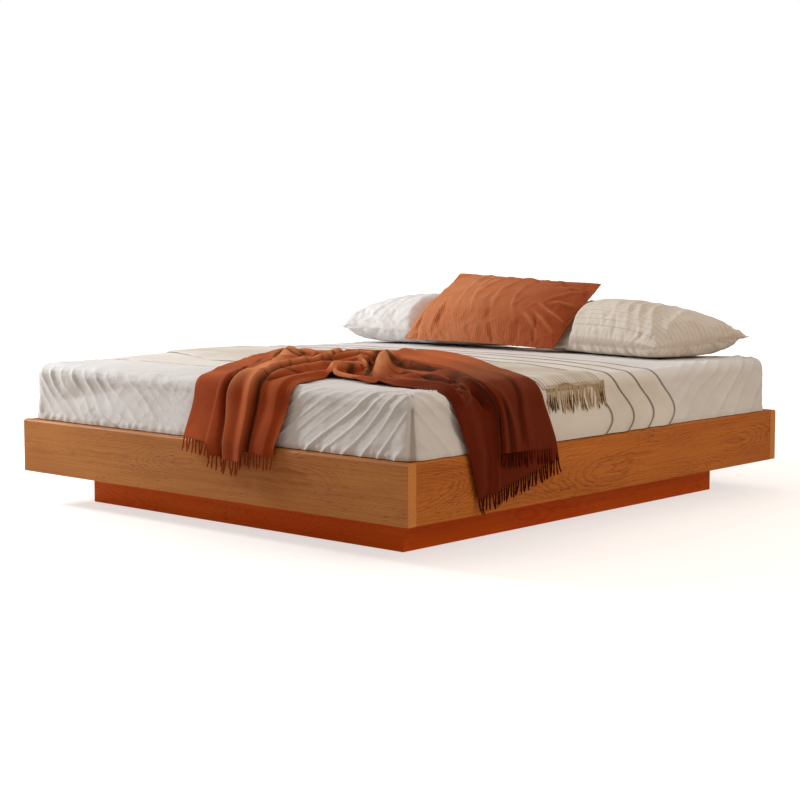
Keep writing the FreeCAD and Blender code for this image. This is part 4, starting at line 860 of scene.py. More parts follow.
# The throw's crests, and below them the grooves beside them: each one's width to the left and to the
# right of its direction, and its points of across, along and height
CRESTS = (
    # Foot fall: the left panel's step, the front panel's rolled edge, and its fold over the valley
    (0.010, 0.045, ((0.088, -1.26, 0.011), (0.088, -1.156, 0.011), (0.080, -1.10, 0.011),
        (0.078, -1.04, 0.011), (0.082, -0.99, 0.010), (0.03, -0.90, 0.010), (-0.06, -0.76, 0.008),
        (-0.10, -0.70, 0.003))),
    (0.009, 0.055, ((0.188, -1.26, 0.019), (0.168, -1.132, 0.019), (0.140, -1.056, 0.021),
        (0.138, -1.012, 0.022), (0.148, -0.975, 0.022), (0.135, -0.92, 0.021), (0.07, -0.80, 0.020),
        (-0.01, -0.68, 0.020), (-0.10, -0.56, 0.024), (-0.16, -0.47, 0.022))),
    (0.045, 0.011, ((0.250, -1.26, 0.018), (0.258, -1.18, 0.018), (0.250, -1.13, 0.020),
        (0.243, -1.06, 0.022), (0.242, -1.01, 0.023), (0.236, -0.985, 0.024), (0.212, -0.95, 0.024),
        (0.182, -0.90, 0.024), (0.128, -0.82, 0.024), (0.104, -0.75, 0.024), (0.110, -0.69, 0.024),
        (0.115, -0.62, 0.024), (0.090, -0.52, 0.022), (0.000, -0.37, 0.020))),
    (0.022, 0.020, ((0.262, -0.965, 0.004), (0.240, -0.92, 0.014), (0.212, -0.86, 0.017),
        (0.200, -0.80, 0.017), (0.190, -0.74, 0.017), (0.185, -0.67, 0.017), (0.200, -0.62, 0.014))),
    (0.050, 0.014, ((0.350, -1.25, 0.006), (0.350, -1.05, 0.008), (0.350, -0.97, 0.010),
        (0.325, -0.88, 0.010), (0.315, -0.80, 0.010), (0.330, -0.74, 0.008))),
    # Bunch: the mound on the left, and the ridges that run from it to the knot
    (0.075, 0.060, ((-0.06, -0.60, 0.012), (-0.15, -0.50, 0.022), (-0.21, -0.42, 0.022),
        (-0.20, -0.36, 0.010))),
    (0.030, 0.020, ((-0.17, -0.40, 0.018), (-0.11, -0.42, 0.020), (-0.05, -0.44, 0.014))),
    (0.030, 0.014, ((0.020, -0.60, 0.010), (0.000, -0.53, 0.016), (0.000, -0.44, 0.018),
        (0.030, -0.37, 0.020), (0.090, -0.32, 0.020), (0.16, -0.33, 0.020))),
    (0.022, 0.012, ((0.10, -0.56, 0.012), (0.12, -0.48, 0.020), (0.16, -0.42, 0.024),
        (0.21, -0.40, 0.022))),
    (0.025, 0.012, ((0.21, -0.62, 0.010), (0.23, -0.55, 0.020), (0.28, -0.52, 0.022),
        (0.33, -0.53, 0.018))),
    (0.014, 0.020, ((0.372, -0.676, 0.026), (0.340, -0.696, 0.030), (0.320, -0.712, 0.032),
        (0.325, -0.738, 0.030), (0.345, -0.760, 0.022), (0.365, -0.775, 0.012))),
    (0.016, 0.012, ((0.252, -0.536, 0.018), (0.36, -0.62, 0.022), (0.452, -0.704, 0.022),
        (0.53, -0.775, 0.012))),
    (0.014, 0.014, ((0.40, -0.782, 0.008), (0.46, -0.795, 0.010), (0.53, -0.800, 0.010),
        (0.60, -0.815, 0.006))),
    # Knot: the upright gather, steep towards the foot and softer towards the right
    (0.045, 0.010, ((0.190, -0.33, 0.022), (0.224, -0.38, 0.028), (0.324, -0.52, 0.029),
        (0.424, -0.64, 0.028), (0.500, -0.72, 0.025), (0.556, -0.78, 0.020), (0.596, -0.812, 0.014),
        (0.632, -0.838, 0.006))),
    # Right of the knot: folds that fan out to the right fall
    (0.012, 0.026, ((0.648, -0.575, 0.010), (0.744, -0.615, 0.018), (0.852, -0.695, 0.020),
        (0.888, -0.698, 0.020), (0.912, -0.690, 0.019), (0.932, -0.675, 0.018), (0.964, -0.664, 0.017),
        (1.004, -0.666, 0.016), (1.052, -0.672, 0.015), (1.108, -0.676, 0.014), (1.20, -0.676, 0.012))),
    (0.020, 0.016, ((0.344, -0.455, 0.010), (0.424, -0.485, 0.014), (0.51, -0.515, 0.014),
        (0.60, -0.545, 0.008))),
    (0.018, 0.014, ((0.56, -0.66, 0.012), (0.64, -0.69, 0.016), (0.72, -0.685, 0.015),
        (0.80, -0.705, 0.010))),
    (0.020, 0.016, ((0.64, -0.80, 0.008), (0.72, -0.815, 0.012), (0.80, -0.805, 0.013),
        (0.87, -0.800, 0.012), (0.915, -0.800, 0.010))),
    (0.014, 0.022, ((0.86, -0.735, 0.010), (0.895, -0.740, 0.013), (0.915, -0.765, 0.013),
        (0.925, -0.790, 0.010))),
    (0.030, 0.030, ((0.96, -0.76, 0.003), (1.05, -0.745, 0.006), (1.18, -0.735, 0.006))),
)
GROOVES = (
    (0.009, 0.007, ((0.500, -0.655, 0.004), (0.564, -0.672, 0.010), (0.688, -0.692, 0.011),
        (0.832, -0.728, 0.010), (0.892, -0.752, 0.006))),
    (0.008, 0.007, ((0.600, -0.755, 0.005), (0.700, -0.785, 0.009), (0.800, -0.790, 0.009),
        (0.900, -0.785, 0.005))),
    (0.010, 0.008, ((-0.068, -0.640, 0.006), (-0.190, -0.470, 0.010), (-0.215, -0.390, 0.010),
        (-0.120, -0.440, 0.009), (-0.044, -0.500, 0.010), (0.032, -0.544, 0.008))),
    (0.008, 0.007, ((0.204, -0.950, 0.006), (0.200, -0.870, 0.010), (0.225, -0.800, 0.010),
        (0.270, -0.740, 0.010), (0.235, -0.660, 0.010), (0.170, -0.560, 0.008))),
    (0.012, 0.010, ((0.410, -0.770, 0.009), (0.470, -0.785, 0.011), (0.500, -0.785, 0.009))),
    (0.012, 0.008, ((0.150, -1.26, 0.007), (0.138, -1.144, 0.007), (0.112, -1.06, 0.008),
        (0.108, -1.01, 0.008), (0.108, -0.985, 0.008), (0.02, -0.865, 0.007), (-0.08, -0.72, 0.006),
        (-0.15, -0.62, 0.003))),
    (0.008, 0.009, ((0.264, -1.26, 0.009), (0.272, -1.184, 0.009), (0.264, -1.13, 0.009),
        (0.257, -1.06, 0.009), (0.256, -1.01, 0.010), (0.248, -0.985, 0.010), (0.226, -0.945, 0.010),
        (0.196, -0.895, 0.010), (0.142, -0.82, 0.010), (0.118, -0.75, 0.010), (0.126, -0.69, 0.010),
        (0.132, -0.62, 0.010), (0.105, -0.52, 0.009), (0.015, -0.37, 0.007))),
    (0.008, 0.010, ((0.262, -0.965, 0.006), (0.274, -0.935, 0.008), (0.256, -0.88, 0.008),
        (0.248, -0.83, 0.008), (0.238, -0.74, 0.008), (0.226, -0.66, 0.007))),
    (0.020, 0.016, ((-0.11, -0.52, 0.010), (-0.05, -0.53, 0.012), (-0.02, -0.48, 0.012),
        (-0.05, -0.40, 0.008))),
    (0.008, 0.010, ((-0.15, -0.38, 0.006), (-0.124, -0.372, 0.010), (-0.064, -0.352, 0.012),
        (-0.02, -0.325, 0.012), (0.010, -0.288, 0.012), (0.06, -0.27, 0.012), (0.124, -0.30, 0.010))),
    (0.008, 0.008, ((0.05, -0.56, 0.008), (0.06, -0.47, 0.010), (0.10, -0.40, 0.010),
        (0.17, -0.37, 0.008))),
    (0.010, 0.010, ((0.16, -0.60, 0.008), (0.18, -0.51, 0.010), (0.24, -0.46, 0.010),
        (0.28, -0.47, 0.006))),
    (0.016, 0.010, ((0.360, -0.700, 0.010), (0.40, -0.720, 0.014), (0.46, -0.735, 0.012),
        (0.50, -0.765, 0.008))),
    (0.010, 0.014, ((0.160, -0.33, 0.010), (0.200, -0.395, 0.014), (0.300, -0.525, 0.016),
        (0.396, -0.640, 0.016), (0.475, -0.725, 0.014), (0.535, -0.785, 0.010))),
    (0.018, 0.014, ((0.30, -0.43, 0.010), (0.38, -0.50, 0.016), (0.44, -0.535, 0.016),
        (0.53, -0.545, 0.012), (0.62, -0.56, 0.010))),
    (0.009, 0.009, ((0.64, -0.735, 0.006), (0.72, -0.745, 0.009), (0.80, -0.760, 0.009),
        (0.87, -0.765, 0.006))),
    (0.009, 0.009, ((0.60, -0.645, 0.007), (0.70, -0.650, 0.009), (0.77, -0.665, 0.009),
        (0.84, -0.72, 0.006))),
    (0.008, 0.008, ((0.90, -0.732, 0.003), (0.916, -0.716, 0.005), (0.936, -0.704, 0.005),
        (0.95, -0.695, 0.003))),
)
# The near lip of the upper lap that lies over this one
LIP_LINE = ((0.150, -0.310), (0.196, -0.344), (0.280, -0.392), (0.364, -0.436), (0.424, -0.460),
            (0.510, -0.488), (0.580, -0.502), (0.656, -0.540), (0.744, -0.596), (0.840, -0.668),
            (0.892, -0.676), (0.912, -0.666), (0.932, -0.652), (0.955, -0.643), (0.985, -0.640),
            (1.020, -0.643), (side_reach(0.300), -0.648))
across, along = plan[..., 0], plan[..., 1]
# Under the throw lies the sheet at the foot, and the cover with the cream throw from there on
below = np.interp(along, (-0.74, -0.47), (0.006, 0.0205)) + 0.007 * np.exp(-((along + 0.985) / 0.06) ** 2)
fullness = ease((along + 1.05) / 0.25) * ease((1.05 - across) / 0.2)
waves = ripple(across * 2.0, along * 2.0, 74, 14, 2.0, 6.0)
bunched = np.exp(-(((across - 0.15) / 0.42) ** 2 + ((along + 0.56) / 0.26) ** 2))
hollow = sum(fold(plan, points, left * GROOVE_WIDTH, right * GROOVE_WIDTH)
             for left, right, points in GROOVES)
crests = folds(plan, CRESTS)
lift = below + 0.006 * fullness + CREST_SCALE * crests - GROOVE_SCALE * hollow
lift += 0.0012 * ripple(across * 1.5, along * 1.5, 71, 12, 2.0, 7.0) + 0.0022 * bunched * crumple(waves)
edge_share = np.minimum(width_share, 1 - width_share)
lift -= (0.003 + 0.005 * fullness) * np.exp(-(edge_share / 0.018) ** 2)
lift = np.maximum(lift, below - 0.001)
# How far in and down the two rows of a turned hem lie from the cloth's edge
HEM_TURN = ((0.0002, 0.0016), (0.002, 0.0028))


def turned_hem(grid):
    """Turns both long edges of a cloth under, so that they show the cloth's thickness."""
    edges = []
    for rim, inner in ((grid[:, 0], grid[:, 2]), (grid[:, -1], grid[:, -3])):
        inward = (inner - rim) / np.linalg.norm(inner - rim, axis=1, keepdims=True)
        edges.append([rim + inward * inset - (0, 0, drop) for inset, drop in HEM_TURN])
    return np.concatenate([np.stack(edges[0][::-1], 1), grid, np.stack(edges[1], 1)], 1)


rust_grid = drape(across, along, lift)
rust_wool = cloth_finish("rust_brushed_wool", colour(174, 76, 32), colour(144, 54, 21), 700.0, 0.0005,
                         crease=0.0008, sheen=0.35, rough=0.95)
rust_wool.node_tree.nodes["Principled BSDF"].inputs["Sheen Tint"].default_value = colour(236, 160, 108)
# Painted light on the rust wool: a painted highlight on the crests, painted shade darkening towards the right
# fall, and painted shade in the hollows.
mark_lines(rust_wool, "crest_highlight", colour(228, 150, 100), 0.75)
mark_lines(rust_wool, "nap_and_painted_shade", colour(92, 22, 6), 0.90)
mark_lines(rust_wool, "hollow", colour(40, 9, 3), 0.86)


def wool_marks(plan, crests, hollow):
    """Marks for the wool's tone, all painted light: a painted highlight on the crests, painted shade in
    the hollows, and painted shade that darkens the cloth towards the right, down the right fall. The
    turned hems take the marks beside them."""
    across, along = plan[..., 0], plan[..., 1]
    # A painted highlight on the crests, fading towards the right and down the foot fall.
    pale = np.clip((crests - 0.007) / 0.016, 0, 1) ** 1.5 * ease((0.80 - across) / 0.3)
    # Painted shade: the cloth darkens towards the right, down the right fall.
    marks = {"hollow": np.clip(hollow / 0.0080, 0, 1) ** 1.1, "nap_and_painted_shade": ease((across - 0.38) / 0.46),
             "crest_highlight": pale * (0.25 + 0.75 * ease((along + 1.05) / 0.12))}
    return {key: as_marks(np.pad(mark, ((0, 0), (2, 2)), mode="edge")) for key, mark in marks.items()}


# Painted shadow of the upper lap's lip on the lower cloth, and painted shade along the crumple lines of the
# bunch; both go into the hollow mark.
lip_shade = fold(plan, [(x, y - 0.010, 0.014) for x, y in LIP_LINE], 0.006, 0.022)
fine = np.exp(-(waves / 0.14) ** 2) * bunched
rust = surface("rust_wool_throw", turned_hem(rust_grid), rust_wool,
               attributes=wool_marks(plan, crests, hollow + lip_shade + 0.0040 * fine))

# Second lap of the rust throw: it is folded over on the right, so a shorter upper lap lies on the
# lower one from the knot to the side, with a rolled near lip and its own fringed hem.
LAP_FAR = ((0.02, 0.03), (0.14, 0.035), (0.30, -0.035), (0.45, -0.135), (0.593, -0.243), (0.74, -0.34),
           (0.84, -0.404), (0.94, -0.414), (1.02, -0.390), (side_reach(0.294), -0.375))
lap_share = np.linspace(0, 1, 230)
lap_width = np.linspace(0, 1, 100)[None, :] + 0 * lap_share[:, None]
lap_plan = between(track(LIP_LINE, lap_share), track(LAP_FAR, lap_share), lap_width)
LAP_CRESTS = (
    (0.020, 0.010, ((0.90, -0.640, 0.004), (0.940, -0.612, 0.007), (0.980, -0.596, 0.007),
        (1.028, -0.586, 0.007), (1.10, -0.585, 0.006))),
    (0.030, 0.012, ((0.70, -0.42, 0.002), (0.85, -0.50, 0.005), (0.94, -0.53, 0.006),
        (1.05, -0.525, 0.006))),
    (0.045, 0.030, ((0.35, -0.26, 0.005), (0.55, -0.36, 0.008), (0.75, -0.47, 0.006),
        (0.90, -0.50, 0.003))),
    (0.060, 0.030, ((0.16, -0.20, 0.016), (0.30, -0.26, 0.008), (0.45, -0.32, 0.003))),
)
LAP_GROOVES = (
    ((0.90, -0.626, 0.003), (0.95, -0.612, 0.007), (1.03, -0.606, 0.007), (1.12, -0.606, 0.006)),
    ((0.72, -0.44, 0.002), (0.86, -0.52, 0.005), (0.95, -0.548, 0.006), (1.06, -0.545, 0.004)),
)
across, along = lap_plan[..., 0], lap_plan[..., 1]
lap_lift = np.interp(across, (0.15, 0.50, 0.80, 0.95, 1.1), (0.040, 0.036, 0.030, 0.022, 0.018))
lap_lift += 0.004 * np.exp(-((lap_width - 0.05) / 0.05) ** 2) - 0.007 * np.exp(-(lap_width / 0.02) ** 2)
lap_lift -= 0.010 * ease((lap_width - 0.15) / 0.85) * ease((0.95 - across) / 0.3)
lap_lift += folds(lap_plan, LAP_CRESTS) + 0.0012 * ripple(across, along, 77, 10, 2.0, 6.0)
lap_grid = drape(across, along, lap_lift)
# Painted shade in the upper lap's grooves.
lap_hollow = sum(fold(lap_plan, points, 0.012, 0.007) for points in LAP_GROOVES)
rust_lap = surface("rust_wool_throw_lap", turned_hem(lap_grid), rust_wool,
                   attributes=wool_marks(lap_plan, 0 * lap_width, lap_hollow))
RUST_TASSEL = 0.0028


def hem_fringe(name, line, count, length, lean, seed, wool):
    """Tassels spread evenly along a hem's line of points, hanging down and a little outwards."""
    steps = lengths_along(line)
    places = np.linspace(0.01, 0.99, count) * steps[-1]
    roots = np.stack([np.interp(places, steps, line[:, axis]) for axis in range(3)], -1)
    draw = np.random.default_rng(seed)
    falls = np.column_stack([lean[0] + draw.uniform(-0.004, 0.004, count),
                             lean[1] + draw.uniform(-0.004, 0.004, count),
                             -length * draw.uniform(0.88, 1.08, count)])
    return tassels(name, roots + (0, 0, 0.002), falls, RUST_TASSEL, wool, seed)


# The small roll of the throw's near edge, turned back beside the knot, as points of across, along
# and lift. It is a tube that tapers to both ends.
ROLL_RADIUS = 0.0085
ROLL_LINE = ((0.392, -0.664, 0.036), (0.372, -0.676, 0.040), (0.340, -0.696, 0.042),
             (0.320, -0.708, 0.040), (0.328, -0.732, 0.034), (0.348, -0.756, 0.026),
             (0.372, -0.772, 0.018), (0.404, -0.776, 0.014), (0.48, -0.796, 0.014), (0.532, -0.78, 0.014))
centre = drape(*smooth_line(ROLL_LINE, 3).T)
heading = np.gradient(centre, axis=0)
heading /= np.linalg.norm(heading, axis=1, keepdims=True)
beside = np.cross(heading, (0, 0, 1.0))
beside /= np.linalg.norm(beside, axis=1, keepdims=True)
above = np.cross(beside, heading)
turn = np.linspace(0, 2 * math.pi, 18, endpoint=False)[None, :, None]
thick = ROLL_RADIUS * np.sqrt(np.sin(np.linspace(0.0, math.pi, len(centre))))[:, None, None]
roll_grid = centre[:, None] + thick * (np.cos(turn) * beside[:, None] + np.sin(turn) * above[:, None])
# The roll takes the painted crest highlight all over.
rust_roll = surface("rust_wool_throw_roll", roll_grid[:, ::-1], rust_wool, closed=True, attributes={
    "crest_highlight": as_marks(np.full(roll_grid.shape[:2], 0.8))})
weld(rust_roll)
shaded_wool = cloth_finish("rust_wool_down_the_side", colour(96, 26, 8), colour(70, 16, 5), 700.0, 0.0005,
                           sheen=0.2, rough=0.95)
foot_fringe = hem_fringe("rust_foot_fringe", rust_grid[0], 34, 0.050, (0, -0.002), 81, rust_wool)
side_fringe = hem_fringe("rust_side_fringe", rust_grid[-1], 36, 0.050, (0.002, 0), 82, shaded_wool)
lap_fringe = hem_fringe("rust_lap_fringe", lap_grid[-1], 23, 0.052, (0.002, 0), 83, shaded_wool)
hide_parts("rust_throw")
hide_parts("rust_throw_fringe")
for piece in (rust, rust_lap, rust_roll, foot_fringe, side_fringe, lap_fringe):
    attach(piece, "deck")

# Lumbar cushion: rust corduroy with its ribs along the short side. It leans on the pillows, its
# four corners are pulled to points, and the cloth gathers along its seams.
CASE_STEPS = (112, 66)
CASE_PRESSURE = 4.0
CASE_SLACK = 0.05
CASE_FRAMES = 20
FURTHEST_MOVE = 0.022


def case_shape(corners, draw_in, front, back, power, sag):
    """A stuffed case as two faces that share their rim. Its corners are near left, near right, far
    left and far right, its sides are drawn in between them, and each face stands out from the seam
    as a dome: out = loft * ((1 - along ** 2) * (1 - up ** 2)) ** power * (1 - sag * up). Gives the
    points, the faces, the marks of the rim's points and each point's own place (along, up, dome),
    with the dome below 0 at the back."""
    along = np.sin(np.linspace(-math.pi / 2, math.pi / 2, CASE_STEPS[0]))[:, None] + np.zeros(CASE_STEPS)
    up = np.sin(np.linspace(-math.pi / 2, math.pi / 2, CASE_STEPS[1]))[None, :] + np.zeros(CASE_STEPS)
    right = (1 + along * (1 - draw_in[0] * (1 - up ** 2) - 0.01 * up ** 10))[..., None] / 2
    high = (1 + up * (1 - draw_in[1] * (1 - along ** 2) - 0.02 * along ** 16))[..., None] / 2
    near_left, near_right, far_left, far_right = np.array(corners)
    place = (near_left * (1 - right) + near_right * right) * (1 - high)
    place = place + (far_left * (1 - right) + far_right * right) * high
    rightward = near_right + far_right - near_left - far_left
    out = np.cross(rightward, far_left + far_right - near_left - near_right)
    out /= np.linalg.norm(out)
    rim = (np.abs(along) == 1) | (np.abs(up) == 1)
    dome = np.where(rim, 0, np.abs((1 - along ** 2) * (1 - up ** 2)) ** power * (1 - sag * up))[..., None]
    own = np.stack([along, up, dome[..., 0]], -1).reshape(-1, 3)
    index = np.arange(dome.size).reshape(CASE_STEPS)
    front_faces = grid_faces(index)[:, [0, 3, 2, 1]]
    back_faces = grid_faces(np.where(rim, index, index + dome.size))
    faces_out = (place + out * front * dome, place - out * back * dome)
    points = np.concatenate([side.reshape(-1, 3) for side in faces_out])
    used = np.concatenate([np.ones(dome.size, bool), ~rim.ravel()])
    faces = (np.cumsum(used) - 1)[np.concatenate([front_faces, back_faces])]
    marks = np.concatenate([rim.ravel(), rim.ravel()])[used]
    return points[used], faces, marks, np.concatenate([own, own * (1, 1, -1)])[used]


def read_vectors(items, part):
    """The vectors of a mesh's points, normals or stored values."""
    values = np.empty(len(items) * 3, np.float32)
    items.foreach_get(part, values)
    return values.reshape(-1, 3).astype(float)


def write_points(mesh, points):
    mesh.vertices.foreach_set("co", points.astype(np.float32).ravel())
    mesh.update()


def stuff(piece, rim, bending):
    """Fills a case: its cloth is cut larger by the slack, its seam is held, and pressure lifts it for
    a few frames, so it gathers along the seam. No point moves further than the furthest move."""
    held = piece.vertex_groups.new(name="seam")
    held.add([int(number) for number in np.where(rim)[0]], 1.0, "REPLACE")
    before = read_vectors(piece.data.vertices, "co")
    cloth = piece.modifiers.new("stuffing", "CLOTH")
    settings = cloth.settings
    settings.vertex_group_mass = "seam"
    settings.quality = 5
    settings.mass = 0.25
    settings.tension_stiffness = 20
    settings.compression_stiffness = 20
    settings.shear_stiffness = 6
    settings.bending_stiffness = bending
    settings.shrink_min = -CASE_SLACK
    settings.use_pressure = True
    settings.uniform_pressure_force = CASE_PRESSURE
    settings.effector_weights.gravity = 0
    cloth.collision_settings.use_collision = False
    for moment in range(1, CASE_FRAMES + 1):
        bpy.context.scene.frame_set(moment)
    shaped = piece.evaluated_get(bpy.context.evaluated_depsgraph_get())
    filled = shaped.to_mesh()
    move = read_vectors(filled.vertices, "co") - before
    shaped.to_mesh_clear()
    far = np.linalg.norm(move, axis=1, keepdims=True) + 1e-9
    piece.modifiers.remove(cloth)
    bpy.context.scene.frame_set(1)
    write_points(piece.data, before + move * FURTHEST_MOVE * np.tanh(far / FURTHEST_MOVE) / far)


def gather(piece, table, seed, strength, size):
    """One subdivision, then puckers that run in from the seams, soft crumples and the folds of a
    table, all pushed out along the cloth's own direction. The folds' crests are also stored as
    marks at the points, for a painted highlight on the crests."""
    finer = piece.modifiers.new("finer_cloth", "SUBSURF")
    finer.levels = 1
    piece.data = bpy.data.meshes.new_from_object(piece.evaluated_get(bpy.context.evaluated_depsgraph_get()))
    piece.data.name = piece.name
    piece.modifiers.remove(finer)
    own = read_vectors(piece.data.attributes["case"].data, "vector")
    along, up = own[:, 0], own[:, 1]
    wide, high = size
    wander = 1.6 * ripple(along * 1.3, up * 1.3, seed, 8, 0.5, 2.5)
    inward_up, inward_along = (1 - np.abs(up)) * high, (1 - np.abs(along)) * wide
    puckers = crease(along * wide / 0.030 + wander, 0.22, seed, 1.6) * np.exp(-inward_up / 0.040)
    from_sides = crease(up * high / 0.028 + wander, 0.22, seed + 1, 1.6) * np.exp(-inward_along / 0.050)
    net = crumple(ripple(along * wide * 5, up * high * 5 + own[:, 2] * 0.2, seed + 2, 14, 0.6, 2.6))
    relief = 0.6 * (puckers + from_sides) + 0.5 * np.clip(net, -0.4, 1)
    relief = strength * relief * np.clip(np.abs(own[:, 2]) / 0.3, 0, 1)
    crests = folds(np.stack([along * wide, up * high], -1)[:, None], table)[:, 0]
    crests = np.where(own[:, 2] > 0, crests, 0) * np.clip(own[:, 2] / 0.25, 0, 1)
    # The crests' marks, for a painted highlight on the cloth.
    raised_highlight = piece.data.attributes.new("raised_highlight", "FLOAT_VECTOR", "POINT")
    raised_highlight.data.foreach_set("vector", np.repeat(np.clip(crests / 0.009, 0, 1) ** 2, 3).astype(np.float32))
    points = read_vectors(piece.data.vertices, "co")
    normals = read_vectors(piece.data.vertex_normals, "vector")
    write_points(piece.data, points + normals * (relief + crests)[:, None])


CUSHION_CORNERS = np.array([(-0.572, 0.606, 0.540), (0.222, 0.598, 0.530), (-0.466, 0.853, 0.816),
                            (0.274, 0.853, 0.784)])
CUSHION_FOLDS = (
    (0.012, 0.009, ((-0.17, 0.165, 0.004), (-0.15, 0.09, 0.009), (-0.12, 0.00, 0.010),
        (-0.105, -0.11, 0.004))),
    (0.010, 0.008, ((-0.115, 0.165, 0.004), (-0.10, 0.10, 0.008), (-0.06, 0.00, 0.010),
        (-0.030, -0.10, 0.005))),
    (0.012, 0.009, ((-0.035, 0.150, 0.003), (-0.04, 0.07, 0.009), (-0.045, -0.01, 0.009),
        (-0.052, -0.06, 0.003))),
    (0.012, 0.010, ((0.045, 0.150, 0.003), (0.055, 0.05, 0.008), (0.050, -0.02, 0.008),
        (0.060, -0.08, 0.003))),
    (0.010, 0.008, ((0.115, 0.120, 0.002), (0.125, 0.02, 0.006), (0.150, -0.06, 0.008),
        (0.190, -0.12, 0.003))),
    (0.010, 0.008, ((0.345, 0.150, 0.006), (0.290, 0.110, 0.008), (0.220, 0.080, 0.003))),
    (0.010, 0.008, ((0.335, 0.120, 0.004), (0.285, 0.050, 0.007), (0.250, -0.03, 0.003))),
    (0.012, 0.010, ((0.300, -0.155, 0.005), (0.250, -0.100, 0.009), (0.195, -0.075, 0.003))),
    (0.010, 0.008, ((0.355, -0.060, 0.006), (0.300, -0.050, 0.010), (0.235, -0.020, 0.004))),
    (0.010, 0.008, ((0.345, -0.120, 0.006), (0.290, -0.085, 0.009), (0.240, -0.060, 0.003))),
    (0.010, 0.008, ((0.355, 0.030, 0.006), (0.310, 0.010, 0.009), (0.270, -0.020, 0.003))),
    (0.010, 0.008, ((-0.340, -0.155, 0.005), (-0.290, -0.090, 0.007), (-0.255, 0.000, 0.006),
        (-0.235, 0.080, 0.002))),
    (0.010, 0.008, ((-0.230, -0.160, 0.004), (-0.205, -0.110, 0.006), (-0.190, -0.050, 0.002))),
)
RIBS = 104
corduroy, tree, shader = new_finish("rust_corduroy", Specular_IOR_Level=0.1, Sheen_Weight=0.15,
                                    Sheen_Roughness=0.4, Sheen_Tint=colour(220, 140, 90))
own = node(tree, "ShaderNodeAttribute", attribute_name="case").outputs["Vector"]
along = stored_part(tree, "case")
rib = math_node(tree, "FRACT", math_node(tree, "MULTIPLY", along, RIBS / 2))
rib = ramp(tree, rib, (0.0, 0.0), (0.25, 0.85), (0.5, 1.0), (0.75, 0.85), (1.0, 0.0))
nap_and_painted_shade = noise(tree, own, (90.0, 8.0, 1.0), 2.0)
cloud = noise(tree, own, (2.6, 2.0, 1.0), 3.0)
tone = blend_colour(tree, cloud, colour(238, 164, 116), colour(212, 122, 76))
# Painted shade in the grooves between the ribs.
between_ribs = math_node(tree, "MULTIPLY", math_node(tree, "SUBTRACT", 1.0, rib), 0.6)
tone = blend_colour(tree, between_ribs, tone, colour(104, 42, 16))
# The cloth darkens towards the right, where it turns away from the window
turned = ramp(tree, math_node(tree, "MULTIPLY_ADD", along, 0.5, 0.5),
              (0.0, 0.0), (0.30, 0.15), (0.55, 0.45), (0.90, 1.0))
tone = blend_colour(tree, math_node(tree, "MULTIPLY", turned, 0.78), tone, colour(150, 58, 23))
# A painted highlight on the folds' crests.
raised_highlight = math_node(tree, "MULTIPLY", stored_part(tree, "raised_highlight"), 0.30)
tone = blend_colour(tree, raised_highlight, tone, colour(250, 178, 124))
height = math_node(tree, "MULTIPLY_ADD", nap_and_painted_shade, 0.4, rib)
wear(shader, tree, tone, ramp(tree, nap_and_painted_shade, (0.0, 0.8), (1.0, 0.95)), height, 0.0016)
points, faces, rim, own = case_shape(CUSHION_CORNERS, (0.030, 0.040), 0.100, 0.030, 0.62, 0.55)
cushion = mesh_piece("lumbar_corduroy_cushion", points, faces, corduroy, attributes={"case": own})
stuff(cushion, rim, 0.8)
gather(cushion, CUSHION_FOLDS, 51, 0.0060, (0.375, 0.18))
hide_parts("lumbar_cushion")
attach(cushion, "deck")

# Pillows: two feather pillows in cotton cases at the head, flat where they lie and pressed in by
# the cushion. The left case is plain white and the right one has fine stripes.
PRESS_HALF_X = 0.365
PRESS_HALF_Y = 0.19
PRESS_MARGIN = 0.06
PRESS_GAP = 0.036
LIE_GAP = 0.004
LIE_BEND = 0.02
cushion_middle = CUSHION_CORNERS.mean(0)
cushion_right = CUSHION_CORNERS[1] - CUSHION_CORNERS[0]
cushion_right /= np.linalg.norm(cushion_right)
cushion_up = CUSHION_CORNERS[2:].mean(0) - CUSHION_CORNERS[:2].mean(0)
cushion_up /= np.linalg.norm(cushion_up)
cushion_out = np.cross(cushion_right, cushion_up)


def press(points):
    """Pushes points back behind the cushion where they lie under it, and up onto the bed: depth =
    place along the cushion's front direction, faded out over a margin round the cushion."""
    apart = points - cushion_middle
    outside = np.hypot(np.maximum(np.abs(apart @ cushion_right) - PRESS_HALF_X, 0),
                       np.maximum(np.abs(apart @ cushion_up) - PRESS_HALF_Y, 0))
    depth = np.maximum(apart @ cushion_out + PRESS_GAP, 0) * (1 - ease(outside / PRESS_MARGIN))
    points = points - cushion_out * depth[:, None]
    ground = SHEET_EDGE + crown(points[:, 0], points[:, 1] - MIDDLE_Y) + LIE_GAP
    rise = points[:, 2] - ground
    rise = np.where(rise < LIE_BEND, LIE_BEND * np.exp((rise - LIE_BEND) / LIE_BEND), rise)
    return np.column_stack([points[:, :2], ground + rise])


